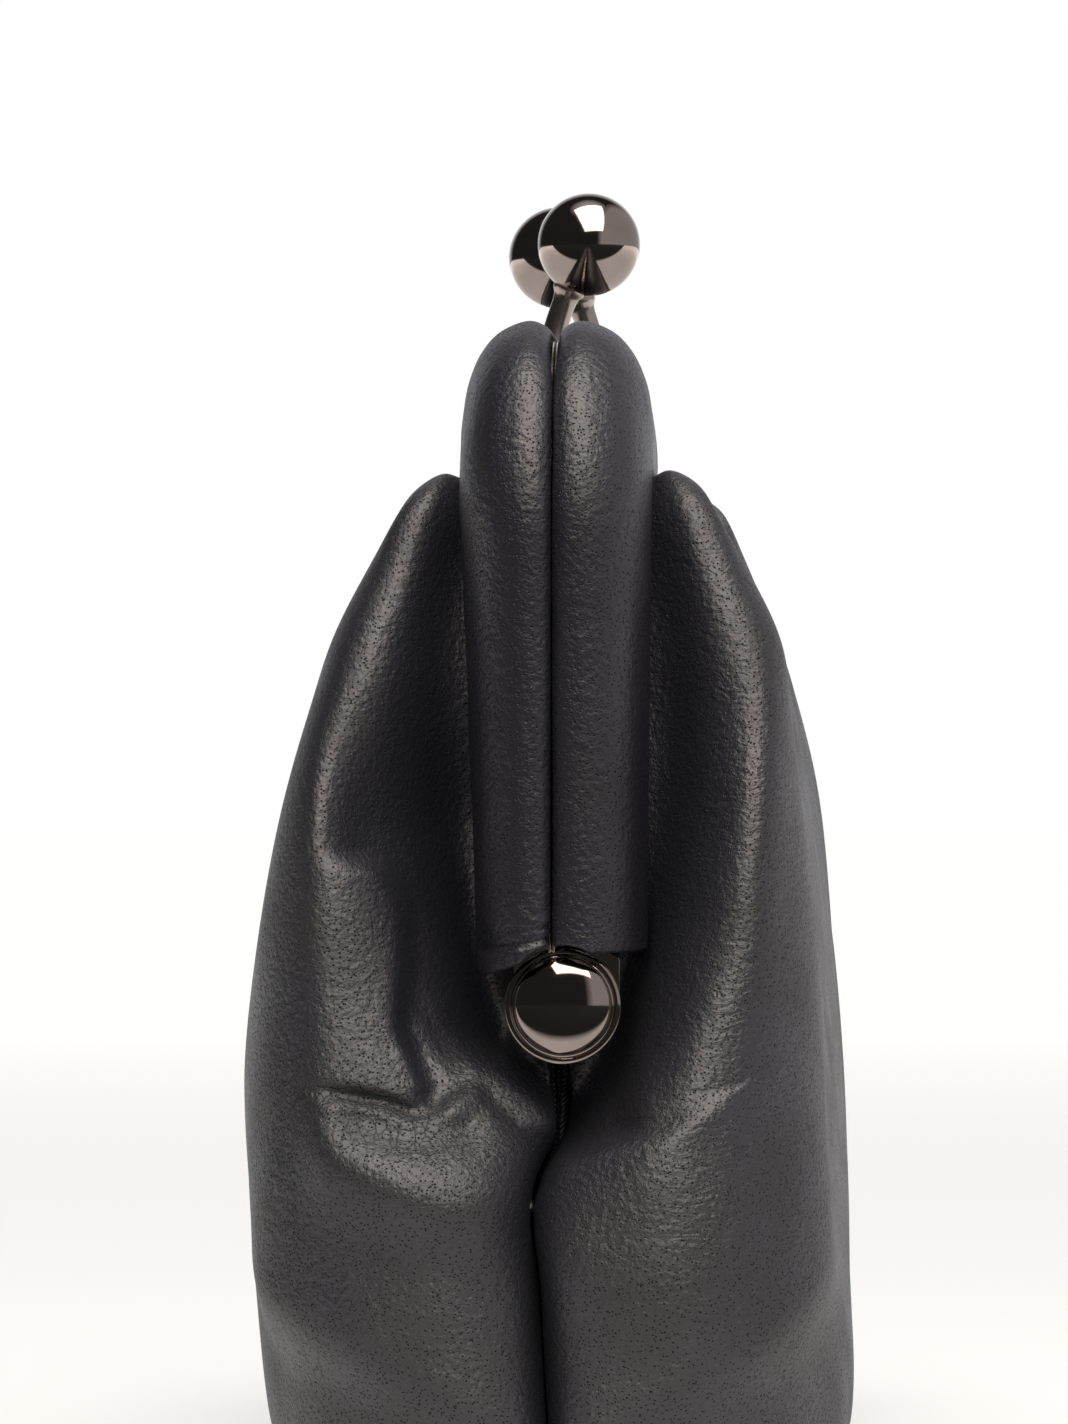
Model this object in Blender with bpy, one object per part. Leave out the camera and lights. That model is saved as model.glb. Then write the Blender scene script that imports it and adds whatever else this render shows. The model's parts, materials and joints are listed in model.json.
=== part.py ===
"""Soft leather wallet with a leather-covered clasp frame, closed by two balls that pass each other.

Two steel frame halves turn on a rivet at each end. Each half is a channel bent into an arch, padded
and wrapped in leather, and holds one edge of a soft leather pouch with its lining, wedged in by a
paper cord. X runs along the hinge line, -Y is the front half and +Z is up. Lengths are in metres.
"""
import math

import bmesh
import bpy
import numpy as np

# Frame halves, seen from the front: two arms, two round corners and a top bar
FRAME_LENGTH = 0.184
FRAME_RISE = 0.0693
FRAME_CORNER = 0.022
HINGE_HEIGHT = 0.050
HINGE_BACKSET = 0.0011
ARM_FOOT = 0.0054

# Steel channel, seen in section across an arm: the mouth faces the inside of the arch
SEAM_GAP = 0.00015
CHANNEL_WIDTH = 0.0044
CHANNEL_WALL = 0.0006
CHANNEL_LIP = 0.00025
LIP_DEPTH = 0.0021
WEB_DEPTH = 0.0040
MOUTH_DEPTH = 0.0135

# Leather cover and the padding under it
COVER_TOP_WIDTH = 0.0093
COVER_FOOT_WIDTH = 0.0074
COVER_DEPTH = 0.0156
COVER_CROWN = 0.0028
COVER_WALL = 0.0009
COVER_EDGE_DEPTH = 0.0037
PADDING_FOOT = 0.0072

# Pouch: outer leather, lining, base and what stiffens it
POUCH_HALF_WIDTH = 0.0303
POUCH_PROFILE_RISE = 0.068
POUCH_PROFILE_DROP = 0.010
LEATHER = 0.0010
LINING = 0.0005
GRIP_DEPTH = 0.0050
BASE_HALF_WIDTH = 0.0245
BASE_HALF_LENGTH = 0.086
BOARD_WALL = 0.0015
BOARD_MARGIN = 0.0020
LINING_INSET = 0.0042
CORD_RADIUS = 0.0003
CORD_DEPTH = 0.0100
POCKET_HALF_LENGTH = 0.046
POCKET_FOOT = 0.019
POCKET_HEIGHT = 0.041
POCKET_WALL = 0.0008

# Hinge at each end of the frame
LUG_WALL = 0.0008
LUG_REACH = 0.0068
LUG_ROUND = 0.0047
RIVET_RADIUS = 0.0015
RIVET_HEAD_RADIUS = 0.0049
RIVET_HEAD_HEIGHT = 0.0016
RIVET_TAIL_RADIUS = 0.0026
RIVET_TAIL_HEIGHT = 0.0010
WASHER_RADIUS = 0.00585
WASHER_WALL = 0.0007

# Clasp: a ball on a leaning stem on each half
BALL_RADIUS = 0.0055
BALL_GAP = 0.0005
FRONT_BALL_RISE = 0.0102
FRONT_BALL_CROSSING = 0.0019
BACK_BALL_RISE = 0.0092
BACK_BALL_CROSSING = 0.0015
STEM_FOOT_RADIUS = 0.0013
STEM_TOP_RADIUS = 0.0011
STEM_OFFSET = 0.0025
STEM_BEND_RISE = 0.0010
STEM_SOCKET = 0.0022

# Gaps between pieces that touch on the real thing, and the overrun of a cut
FIT = 0.0003
SLIDE = 0.00015
OVERRUN = 0.002

# Counts of facets
ARM_STEPS = 3
CORNER_STEPS = 5
TOP_STEPS = 2
ROUND_STEPS = 24
STEM_SIDES = 10
STEM_STEPS = 7
DOME_STEPS = 6
CORD_SIDES = 6
LUG_ROUND_STEPS = 8
BALL_STEPS = 10
POCKET_STEPS = 6

# Edges sharper than this are drawn sharp, in degrees
SHARP_ANGLE = 35

HALF_LENGTH = FRAME_LENGTH / 2
TOP = HINGE_HEIGHT + FRAME_RISE
FRONT, BACK = -1, 1


def clear_scene():
    for obj in list(bpy.data.objects):
        bpy.data.objects.remove(obj, do_unlink=True)


def material(name, colour, roughness, metallic=0.0):
    made = bpy.data.materials.new(name)
    made.use_nodes = True
    shader = made.node_tree.nodes["Principled BSDF"]
    shader.inputs["Base Color"].default_value = (*colour, 1.0)
    shader.inputs["Roughness"].default_value = roughness
    shader.inputs["Metallic"].default_value = metallic
    made.diffuse_color = (*colour, 1.0)
    return made


def add_object(name, points, faces, finish, pivot=None):
    """A mesh object facing outward; a moving piece is measured from the pivot that carries it."""
    mesh = bpy.data.meshes.new(name)
    shift = np.array(pivot.location) if pivot else np.zeros(3)
    mesh.from_pydata((np.asarray(points) - shift).tolist(), [], [list(map(int, face)) for face in faces])
    work = bmesh.new()
    work.from_mesh(mesh)
    bmesh.ops.recalc_face_normals(work, faces=work.faces)
    work.to_mesh(mesh)
    work.free()
    mesh.shade_smooth()
    mesh.set_sharp_from_angle(angle=math.radians(SHARP_ANGLE))
    mesh.materials.append(finish)
    obj = bpy.data.objects.new(name, mesh)
    bpy.context.scene.collection.objects.link(obj)
    obj.parent = pivot
    return obj


def add_pivot(name, place):
    pivot = bpy.data.objects.new(name, None)
    pivot.location = place
    bpy.context.scene.collection.objects.link(pivot)
    return pivot


def cut(obj, cutter):
    """Take the cutter's solid out of the object; the cutter stays hidden as a guide."""
    cutter.hide_render = True
    cutter.display_type = "WIRE"
    boolean = obj.modifiers.new("cut", "BOOLEAN")
    boolean.operation = "DIFFERENCE"
    boolean.object = cutter


def smooth_curve(knots, values, places):
    """Cubic curve through the values at the knots, whose slope at a knot follows its neighbours."""
    knots = np.asarray(knots, float)
    values = np.asarray(values, float)
    slopes = np.gradient(values, knots, axis=0)
    start = np.clip(np.searchsorted(knots, places, side="right") - 1, 0, len(knots) - 2)
    span = knots[start + 1] - knots[start]
    share = (places - knots[start]) / span
    shape = (-1,) + (1,) * (values.ndim - 1)
    span, share = span.reshape(shape), share.reshape(shape)
    square, cube = share ** 2, share ** 3
    return ((2 * cube - 3 * square + 1) * values[start] + (cube - 2 * square + share) * span * slopes[start]
            + (3 * square - 2 * cube) * values[start + 1] + (cube - square) * span * slopes[start + 1])


def arch(foot, arm_steps=ARM_STEPS, corner_steps=CORNER_STEPS, top_steps=TOP_STEPS):
    """Stations on the cover's outer outline, from one foot to the other, with inward directions."""
    rise = np.linspace(HINGE_HEIGHT + foot, TOP - FRAME_CORNER, arm_steps, endpoint=False)
    arm = np.stack([np.full(arm_steps, HALF_LENGTH), rise], axis=1)
    arm_in = np.tile([-1.0, 0.0], (arm_steps, 1))
    turn = np.linspace(0, math.pi / 2, corner_steps, endpoint=False)
    outward = np.stack([np.cos(turn), np.sin(turn)], axis=1)
    corner = np.array([HALF_LENGTH - FRAME_CORNER, TOP - FRAME_CORNER]) + FRAME_CORNER * outward
    along = np.linspace(HALF_LENGTH - FRAME_CORNER, 0, top_steps // 2 + 1)
    top = np.stack([along, np.full(len(along), TOP)], axis=1)
    top_in = np.tile([0.0, -1.0], (len(along), 1))
    half = np.concatenate([arm, corner, top])
    inward = np.concatenate([arm_in, -outward, top_in])
    mirror = np.array([-1.0, 1.0])
    places = np.concatenate([half, half[-2::-1] * mirror])
    directions = np.concatenate([inward, inward[-2::-1] * mirror])
    return places, directions


def sweep(name, foot, section, side, finish, pivot):
    """Carry a closed section of (width, depth) points along the arch; its shape may follow the height."""
    places, directions = arch(foot)
    rings = []
    for place, direction in zip(places, directions):
        width, depth = np.array(section(place[1])).T
        rings.append(np.stack([place[0] + direction[0] * depth, side * width,
                               place[1] + direction[1] * depth], axis=1))
    rings = np.array(rings)
    count, size = rings.shape[:2]
    faces = [range(size), range((count - 1) * size, count * size)]
    for i in range(count - 1):
        for j in range(size):
            k = (j + 1) % size
            faces.append((i * size + j, i * size + k, (i + 1) * size + k, (i + 1) * size + j))
    return add_object(name, rings.reshape(-1, 3), faces, finish, pivot)


COVER_TOP_SHARES = (0.50, 0.72, 0.88, 0.97, 1.0)
COVER_FOOT_SHARES = (0.62, 0.83, 0.93, 0.98, 1.0)
COVER_DEPTH_SHARES = (0.07, 0.20, 0.38, 0.60, 0.85)
COVER_SEAM_SHARE = 0.25


def cover_outline(height):
    """Outer line of the cover in section, from the seam over the crown to its edge under the arm.

    The cover narrows and its shoulder squares up from the corner to the foot.
    """
    share = np.clip((height - HINGE_HEIGHT) / (FRAME_RISE - COVER_DEPTH), 0, 1)
    width = COVER_FOOT_WIDTH + (COVER_TOP_WIDTH - COVER_FOOT_WIDTH) * share
    spread = np.array(COVER_FOOT_SHARES) * (1 - share) + np.array(COVER_TOP_SHARES) * share
    edge = SEAM_GAP + CHANNEL_LIP + SLIDE
    turn = edge + (COVER_CROWN - edge) * COVER_SEAM_SHARE
    inner = [(edge, COVER_EDGE_DEPTH), (edge, COVER_WALL + FIT), (turn, COVER_WALL / 2)]
    crown = [(COVER_CROWN, 0.0)]
    outer = [(width * a, COVER_DEPTH * d) for a, d in zip(spread, COVER_DEPTH_SHARES)]
    under = [(width - COVER_WALL / 2, COVER_DEPTH - COVER_WALL / 2), (width - COVER_WALL, COVER_DEPTH),
             (CHANNEL_WIDTH + FIT, COVER_DEPTH)]
    return np.array(inner + crown + outer + under)


def inset(outline, distance):
    """The same open line moved to its inner side by the distance."""
    tangent = np.gradient(outline, axis=0)
    tangent /= np.linalg.norm(tangent, axis=1, keepdims=True)
    return outline + distance * np.stack([-tangent[:, 1], tangent[:, 0]], axis=1)


def cover_section(height):
    outline = cover_outline(height)
    return np.concatenate([outline, inset(outline, COVER_WALL)[::-1]])


def padding_section(height):
    """Fills the room between the cover and the channel."""
    outer = inset(cover_outline(height), COVER_WALL + FIT)[3:-3]
    inner = [(CHANNEL_WIDTH + FIT, MOUTH_DEPTH), (CHANNEL_WIDTH + FIT, WEB_DEPTH - FIT),
             (COVER_CROWN - COVER_WALL, WEB_DEPTH - FIT)]
    return np.concatenate([outer, inner])


def channel_section(height):
    """A U whose seam side stands above the web as the thin bright lip."""
    seam = SEAM_GAP
    return [(seam, LIP_DEPTH), (seam + CHANNEL_LIP, LIP_DEPTH), (seam + CHANNEL_LIP, WEB_DEPTH),
            (CHANNEL_WIDTH, WEB_DEPTH), (CHANNEL_WIDTH, MOUTH_DEPTH),
            (CHANNEL_WIDTH - CHANNEL_WALL, MOUTH_DEPTH),
            (CHANNEL_WIDTH - CHANNEL_WALL, WEB_DEPTH + CHANNEL_WALL),
            (seam + CHANNEL_WALL, WEB_DEPTH + CHANNEL_WALL), (seam + CHANNEL_WALL, MOUTH_DEPTH),
            (seam, MOUTH_DEPTH)]


LEATHER_LINE = CHANNEL_WIDTH - CHANNEL_WALL - FIT
LINING_LINE = SEAM_GAP + CHANNEL_WALL + FIT + LINING
CORD_LINE = (LEATHER_LINE - LEATHER + LINING_LINE) / 2


def cord_section(height):
    turn = np.arange(CORD_SIDES) * 2 * math.pi / CORD_SIDES
    return np.stack([CORD_LINE + CORD_RADIUS * np.cos(turn), CORD_DEPTH + CORD_RADIUS * np.sin(turn)], axis=1)


def prism(name, outline, low, high, axis, finish, pivot=None):
    """A flat outline made thick along X (axis 0) or Z (axis 2)."""
    outline = np.asarray(outline, float)
    count = len(outline)
    layers = []
    for level in (low, high):
        layers.append(np.insert(outline, axis, level, axis=1))
    faces = [range(count), range(count, 2 * count)]
    faces += [(i, (i + 1) % count, count + (i + 1) % count, count + i) for i in range(count)]
    return add_object(name, np.concatenate(layers), faces, finish, pivot)


def turned(name, profile, centre, direction, finish, pivot=None, steps=ROUND_STEPS):
    """Turn a profile of (place on the axis, radius) about a line; its two ends lie on the axis."""
    direction = np.asarray(direction, float) / np.linalg.norm(direction)
    across = np.cross(direction, [0.0, 0.0, 1.0] if abs(direction[0]) > 0.5 else [1.0, 0.0, 0.0])
    across /= np.linalg.norm(across)
    other = np.cross(direction, across)
    turn = np.arange(steps) * 2 * math.pi / steps
    ring = np.outer(np.cos(turn), across) + np.outer(np.sin(turn), other)
    points = [np.asarray(centre) + direction * profile[0][0]]
    for place, radius in profile[1:-1]:
        points.extend(np.asarray(centre) + direction * place + radius * ring)
    points.append(np.asarray(centre) + direction * profile[-1][0])
    last = len(points) - 1
    faces = []
    for j in range(steps):
        k = (j + 1) % steps
        faces.append((0, 1 + j, 1 + k))
        faces.append((last, last - steps + k, last - steps + j))
        for i in range(len(profile) - 3):
            faces.append((1 + i * steps + j, 1 + (i + 1) * steps + j,
                          1 + (i + 1) * steps + k, 1 + i * steps + k))
    return add_object(name, points, faces, finish, pivot)


def washer(name, inner, outer, low, high, centre, finish, pivot):
    """A flat ring about a line along X."""
    turn = np.arange(ROUND_STEPS) * 2 * math.pi / ROUND_STEPS
    points, faces = [], []
    for place, radius in ((low, inner), (low, outer), (high, outer), (high, inner)):
        points.extend(np.stack([np.full(ROUND_STEPS, place), centre[1] + radius * np.cos(turn),
                                centre[2] + radius * np.sin(turn)], axis=1))
    for i in range(4):
        for j in range(ROUND_STEPS):
            k, n = (j + 1) % ROUND_STEPS, (i + 1) % 4
            corner, beside = i * ROUND_STEPS, n * ROUND_STEPS
            faces.append((corner + j, beside + j, beside + k, corner + k))
    return add_object(name, points, faces, finish, pivot)


BASE_ROLL_SHARE = 0.3
EDGE_DEPTH = MOUTH_DEPTH - GRIP_DEPTH
LINING_FLOOR = LEATHER + FIT + BOARD_WALL + FIT + FIT
PROFILE_SPINE = (POCKET_HALF_LENGTH, HINGE_HEIGHT - POUCH_PROFILE_DROP)
SPINE_SHARES = (0.35, 0.65, 0.88)


def pouch_half_width(height):
    """Half the pouch's width: an ellipse above the belly, straight below it, in to the base roll."""
    belly = HINGE_HEIGHT - POUCH_PROFILE_DROP
    above = np.clip((height - belly) / POUCH_PROFILE_RISE, 0, 1)
    roll = HINGE_HEIGHT * BASE_ROLL_SHARE
    below = np.clip((roll - height) / roll, 0, 1)
    spread = POUCH_HALF_WIDTH - BASE_HALF_WIDTH
    return POUCH_HALF_WIDTH * np.sqrt(1 - above ** 2) - spread * (1 - np.sqrt(1 - below ** 2))


def rim_path(along):
    """Places on the frame's outer outline and inward directions, at lengths up the side from the ground."""
    along = np.asarray(along, float)
    straight = TOP - FRAME_CORNER
    quarter = FRAME_CORNER * math.pi / 2
    turn = np.clip(along - straight, 0, quarter) / FRAME_CORNER
    outward = np.stack([np.cos(turn), np.sin(turn)], axis=-1)
    place = np.array([HALF_LENGTH - FRAME_CORNER, straight]) + FRAME_CORNER * outward
    place[..., 1] += np.minimum(along - straight, 0)
    place[..., 0] -= np.maximum(along - straight - quarter, 0)
    return place, -outward


def rim_points(along, depths, widths, lifts):
    """Points at depths inside the frame's outline, widths off the middle plane, and lifts above the path."""
    place, inward = rim_path(along)
    return np.stack([place[:, None, 0] + inward[:, None, 0] * depths, widths,
                     place[:, None, 1] + inward[:, None, 1] * depths + lifts], axis=-1)


def base_row(place, outward, outs, rises):
    """One row of the net at the base, rolling out and up from the base panel's edge."""
    outs = np.asarray(outs)
    return np.stack([place[0] + outward[0] * outs, place[1] + outward[1] * outs, np.asarray(rises)], axis=1)


def loft(base_rows, base_places, stations, inset_face, across_places, count):
    """Half of a shell as a grid of points: around its rim, and from the rim to the middle of its face.

    The base rows are points, and the stations are lengths up the side and along the frame, with
    depths, widths and lifts. A cubic curve runs through them around the rim, then another runs
    across from the rim to the spine, a short level line in the middle of the face.
    """
    along, depths, widths, lifts = stations
    rows = np.concatenate([base_rows, rim_points(along, depths, widths, lifts)])
    knots = np.concatenate([base_places, along])
    around = np.concatenate([np.linspace(knots[i], knots[i + 1], n, endpoint=False)
                             for i, n in enumerate(count)] + [knots[-1:]])
    low = around[around < along[0]]
    high = around[around >= along[0]]
    smooth = [np.clip(smooth_curve(along, values, high), values.min(axis=0), values.max(axis=0))
              for values in (depths, widths, lifts)]
    under = np.maximum(smooth_curve(knots[:-4], rows[:-4], low), rows.min(axis=0))
    rails = np.concatenate([under, rim_points(high, *smooth)])
    last = rails[:, -1]
    end = np.stack([np.clip(last[:, 0], 0, PROFILE_SPINE[0]), np.zeros(len(last)),
                    np.full(len(last), PROFILE_SPINE[1])], axis=1)
    inner = []
    for share in SPINE_SHARES:
        point = last + (end - last) * share
        lag = (last[:, 1] - pouch_half_width(last[:, 2])) * (1 - share) + inset_face * share
        point[:, 1] = pouch_half_width(point[:, 2]) + lag
        inner.append(point)
    net = np.concatenate([rails, np.stack(inner, axis=1)], axis=1)
    steps = np.arange(net.shape[1], dtype=float)
    return np.stack([smooth_curve(steps, line, across_places) for line in net])


def shell(name, grid, side, wall, finish):
    """Both X halves of a lofted grid as one sheet, zipped along its spine and given its thickness."""
    columns, rows = grid.shape[:2]
    left = grid[-2:0:-1] * np.array([-1.0, 1.0, 1.0])
    ring = np.concatenate([grid, left]) * np.array([1.0, side, 1.0])
    total = len(ring)
    faces = []
    for i in range(total):
        j = (i + 1) % total
        for k in range(rows - 1):
            faces.append((i * rows + k, j * rows + k, j * rows + k + 1, i * rows + k + 1))
    zipped = rows - 1
    half = columns - 1
    for j in range(half // 2):
        right = (j, j + 1, half - j - 1, half - j)
        mirror = [(total - index) % total for index in right]
        for quad in (right, mirror):
            corners = [index * rows + zipped for index in quad]
            faces.append(tuple(dict.fromkeys(corners)))
    obj = add_object(name, ring.reshape(-1, 3), faces, finish)
    if sum(polygon.normal.y * polygon.area for polygon in obj.data.polygons) * side < 0:
        obj.data.flip_normals()
    thick = obj.modifiers.new("thickness", "SOLIDIFY")
    thick.thickness = wall
    thick.offset = -1.0
    return obj


# The outer leather's net at the frame: recess beside the cover, wall of the lobe, its crest and shoulder,
# then the depth of the face. Depths are shares of the cover's depth, widths of the pouch's half width.
PANEL_ARM_SHARES = (
    (0.09, (1.09, 0.264), (0.58, 0.330), (-0.03, 0.578), (0.29, 0.840), 0.90),
    (0.46, (1.11, 0.314), (0.61, 0.436), (0.10, 0.644), (0.385, 0.800), 0.96),
    (0.85, (1.09, 0.300), (0.83, 0.400), (0.47, 0.530), (0.70, 0.620), 1.06),
)
PANEL_CORNER_SHARES = (
    (0.5, (1.07, 0.250), (1.00, 0.330), (0.84, 0.410), (0.96, 0.520), 1.18),
    (1.0, (1.06, 0.225), (1.01, 0.325), (0.94, 0.380), (1.06, 0.480), 1.31),
)
# Below the hinge: height as a share of the hinge height, then each rail from the seam to the shoulder
PANEL_SEAM_SHARES = (
    (0.40, (0.58, 0.0), (0.35, 0.003), (0.13, 0.030), (-0.06, 0.165), (-0.16, 0.430), (0.13, 0.840), 0.84),
    (0.68, (0.96, 0.0), (0.71, 0.002), (0.42, 0.007), (0.13, 0.125), (-0.13, 0.396), (0.16, 0.825), 0.90),
    (0.88, (0.80, 0.045), (0.93, 0.072), (0.93, 0.165), (0.45, 0.264), (-0.08, 0.512), (0.24, 0.845), 0.90),
)
# Roll from the base panel's edge: out and up as shares of the hinge height
BASE_OUT_SHARES = (0.0, 0.036, 0.070, 0.096, 0.110, 0.116, 0.116)
BASE_RISE_SHARES = (0.006, 0.014, 0.046, 0.106, 0.200, 0.300, 0.420)
BASE_CORNER_SHARES = (0.0, 0.032, 0.060, 0.076, 0.060, 0.020, -0.080)
FOOT_DEPTH_SHARES = (0.065, 0.035, 0.018, 0.0, -0.012, 0.016, 0.110)
FOOT_WIDTH_SHARES = (0.0, 0.020, 0.075, 0.210, 0.440, 0.780, 0.990)
FOOT_RISE_SHARES = (0.006, 0.020, 0.070, 0.150, 0.250, 0.360, 0.460)
# How far the rails rise from the seam's stations to the face, so that they fan out of the base
SEAM_LIFT_SHARES = (0.22, 0.10, 0.04)
RAIL_LIFT_SHARES = (0.0, 0.0, 0.1, 0.3, 0.6, 1.0, 1.0)
# Where the net's stations lie on the straight edges
BASE_STATION_SHARES = (0.0, 0.7, 1.0)
TOP_STATION_SHARES = (0.25, 1.0)


def frame_stations(seam_heights, arm_shares, corner_shares):
    """Lengths up the side and along the frame at which a net of the pouch has its stations."""
    corner = FRAME_CORNER * math.pi / 2
    top = TOP - FRAME_CORNER + corner
    arm = FRAME_RISE - FRAME_CORNER
    return np.array([HINGE_HEIGHT * share for share in seam_heights]
                    + [HINGE_HEIGHT + arm * share for share in arm_shares]
                    + [TOP - FRAME_CORNER + corner * share for share in corner_shares]
                    + [top + (HALF_LENGTH - FRAME_CORNER) * share for share in TOP_STATION_SHARES])


def base_corner():
    """Middle of the base's round corner, seen from above, and its outward direction."""
    turn = math.pi / 4
    direction = np.array([math.sin(turn), math.cos(turn)])
    return np.array([BASE_HALF_LENGTH - BASE_HALF_WIDTH, 0.0]) + BASE_HALF_WIDTH * direction, direction


def panel_net():
    """The outer leather's stations, from the base centre by the side seam to the middle of the top bar."""
    outs = HINGE_HEIGHT * np.array(BASE_OUT_SHARES)
    rises = HINGE_HEIGHT * np.array(BASE_RISE_SHARES)
    straight = BASE_HALF_LENGTH - BASE_HALF_WIDTH
    rows = [base_row((straight * share, BASE_HALF_WIDTH), (0.0, 1.0), outs, rises)
            for share in BASE_STATION_SHARES]
    corner = base_row(*base_corner(), HINGE_HEIGHT * np.array(BASE_CORNER_SHARES), rises)
    toward_face = np.linspace(0, 1, len(rises)) ** 2
    corner[:, 1] += (pouch_half_width(rises) - corner[:, 1]) * toward_face
    rows.append(corner)
    rim = BASE_HALF_WIDTH * math.pi / 4
    places = [-rim - rim - straight * (1 - share) for share in BASE_STATION_SHARES] + [-rim]
    depths = [HALF_LENGTH * np.array(FOOT_DEPTH_SHARES)]
    widths = [SEAM_GAP + POUCH_HALF_WIDTH * np.array(FOOT_WIDTH_SHARES)]
    lifts = [HINGE_HEIGHT * np.array(FOOT_RISE_SHARES)]
    for height, *rails, face_depth in PANEL_SEAM_SHARES:
        depths.append([COVER_DEPTH * rail[0] for rail in rails] + [COVER_DEPTH * face_depth])
        widths.append([SEAM_GAP + POUCH_HALF_WIDTH * rail[1] for rail in rails]
                      + [pouch_half_width(HINGE_HEIGHT * height)])
    on_frame = PANEL_ARM_SHARES + PANEL_CORNER_SHARES + PANEL_CORNER_SHARES[-1:] * len(TOP_STATION_SHARES)
    for _, *rails, face_depth in on_frame:
        depths.append([EDGE_DEPTH, COVER_DEPTH - FIT] + [COVER_DEPTH * rail[0] for rail in rails]
                      + [COVER_DEPTH * face_depth])
        widths.append([LEATHER_LINE, LEATHER_LINE] + [POUCH_HALF_WIDTH * rail[1] for rail in rails] + [0.0])
    along = frame_stations([0.0] + [row[0] for row in PANEL_SEAM_SHARES],
                           [row[0] for row in PANEL_ARM_SHARES], [row[0] for row in PANEL_CORNER_SHARES])
    depths, widths = np.array(depths), np.array(widths)
    lifts += [HINGE_HEIGHT * lift * np.array(RAIL_LIFT_SHARES) for lift in SEAM_LIFT_SHARES]
    lifts = np.array(lifts + [np.zeros(depths.shape[1])] * len(on_frame))
    face = rim_points(along, depths, widths, lifts)[:, -1]
    widths[1:, -1] = pouch_half_width(face[1:, 2])
    return np.array(rows), np.array(places), (along, depths, widths, lifts)


# The lining hangs inside the leather from the same channel and lies flat on the board
LINING_DEPTH_SHARES = (0.93, 1.22, 1.33, 1.60, 1.92)
LINING_TOP_DEPTH_SHARES = (0.93, 1.20, 1.27, 1.34, 1.40)
LINING_WIDTH_SHARES = (0.17, 0.38, 0.68)
LINING_TOP_WIDTH_SHARES = (0.22, 0.48, 0.76)
LINING_SEAM_SHARES = (0.30, 0.68, 0.90)
LINING_FLOOR_WIDTH_SHARES = (0.0, 0.20, 0.50, 0.66, 0.76, 0.0)
LINING_FLOOR_RISE_SHARES = (0.0, 0.0, 0.0, 0.01, 0.10, 0.28)
LINING_FOOT_SHARE = 0.08
LINING_FACE_SHARE = 2.2
LINING_STATION_SHARES = (0.0, 0.5, 0.85)


def lining_face(height):
    return pouch_half_width(height) - LINING_INSET


def lining_net():
    """The lining's stations: along the floor's middle line, up the side seam, then along the frame."""
    seam = SEAM_GAP + LEATHER + FIT
    side = HALF_LENGTH - COVER_DEPTH * LINING_DEPTH_SHARES[1]
    rises = LINING_FLOOR + HINGE_HEIGHT * np.array(LINING_FLOOR_RISE_SHARES)
    across = seam + POUCH_HALF_WIDTH * np.array(LINING_FLOOR_WIDTH_SHARES)
    across[-1] = lining_face(rises[-1])
    rows = [np.stack([np.full(len(rises), side * share), across, rises], axis=1)
            for share in LINING_STATION_SHARES]
    places = [side * (share - 1.0) for share in LINING_STATION_SHARES]
    toward_face = np.linspace(0, 1, len(rises))
    depths = [HALF_LENGTH - side + COVER_DEPTH * toward_face ** 1.5]
    widths = [across * 1.0]
    lifts = [rises + HINGE_HEIGHT * LINING_FOOT_SHARE * toward_face]
    for share in LINING_SEAM_SHARES:
        face = lining_face(HINGE_HEIGHT * share)
        widths.append([seam, seam + LINING] + [face * w for w in LINING_WIDTH_SHARES] + [face])
        depths.append([COVER_DEPTH * d for d in (LINING_DEPTH_SHARES[1] - LINING_FOOT_SHARE,)
                       + LINING_DEPTH_SHARES[1:] + (LINING_FACE_SHARE,)])
    ups = [row[0] for row in PANEL_ARM_SHARES]
    turns = [row[0] for row in PANEL_CORNER_SHARES]
    along = frame_stations((0.0,) + LINING_SEAM_SHARES, ups, turns)
    top = len(along) - len(turns) - len(TOP_STATION_SHARES)
    for i in range(len(depths), len(along)):
        shares = LINING_TOP_DEPTH_SHARES if i >= top else LINING_DEPTH_SHARES
        depth = np.array([EDGE_DEPTH] + [COVER_DEPTH * d for d in shares])
        place, inward = rim_path(along[i])
        face = lining_face(place[1] + inward[1] * depth)
        spread = LINING_TOP_WIDTH_SHARES if i >= top else LINING_WIDTH_SHARES
        depths.append(depth)
        widths.append([LINING_LINE, LINING_LINE] + [face[-1] * w for w in spread] + [face[-1]])
    depths, widths = np.array(depths), np.array(widths)
    lifts = np.array(lifts + [np.zeros(depths.shape[1])] * (len(along) - 1))
    return np.array(rows), np.array(places), (along, depths, widths, lifts)


PANEL_COUNT = (2, 1, 2, 2, 2, 2, 2, 2, 2, 2, 3, 2, 1, 1)
LINING_COUNT = (2, 1, 1, 1, 1, 1, 1, 1, 1, 2, 2, 1, 1)
PANEL_ACROSS = (0, 1, 1.45, 2, 2.5, 3, 3.5, 4, 4.5, 5, 6, 7, 8, 9)
LINING_ACROSS = (0, 1, 2, 3, 4, 5, 6, 7, 8)


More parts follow.
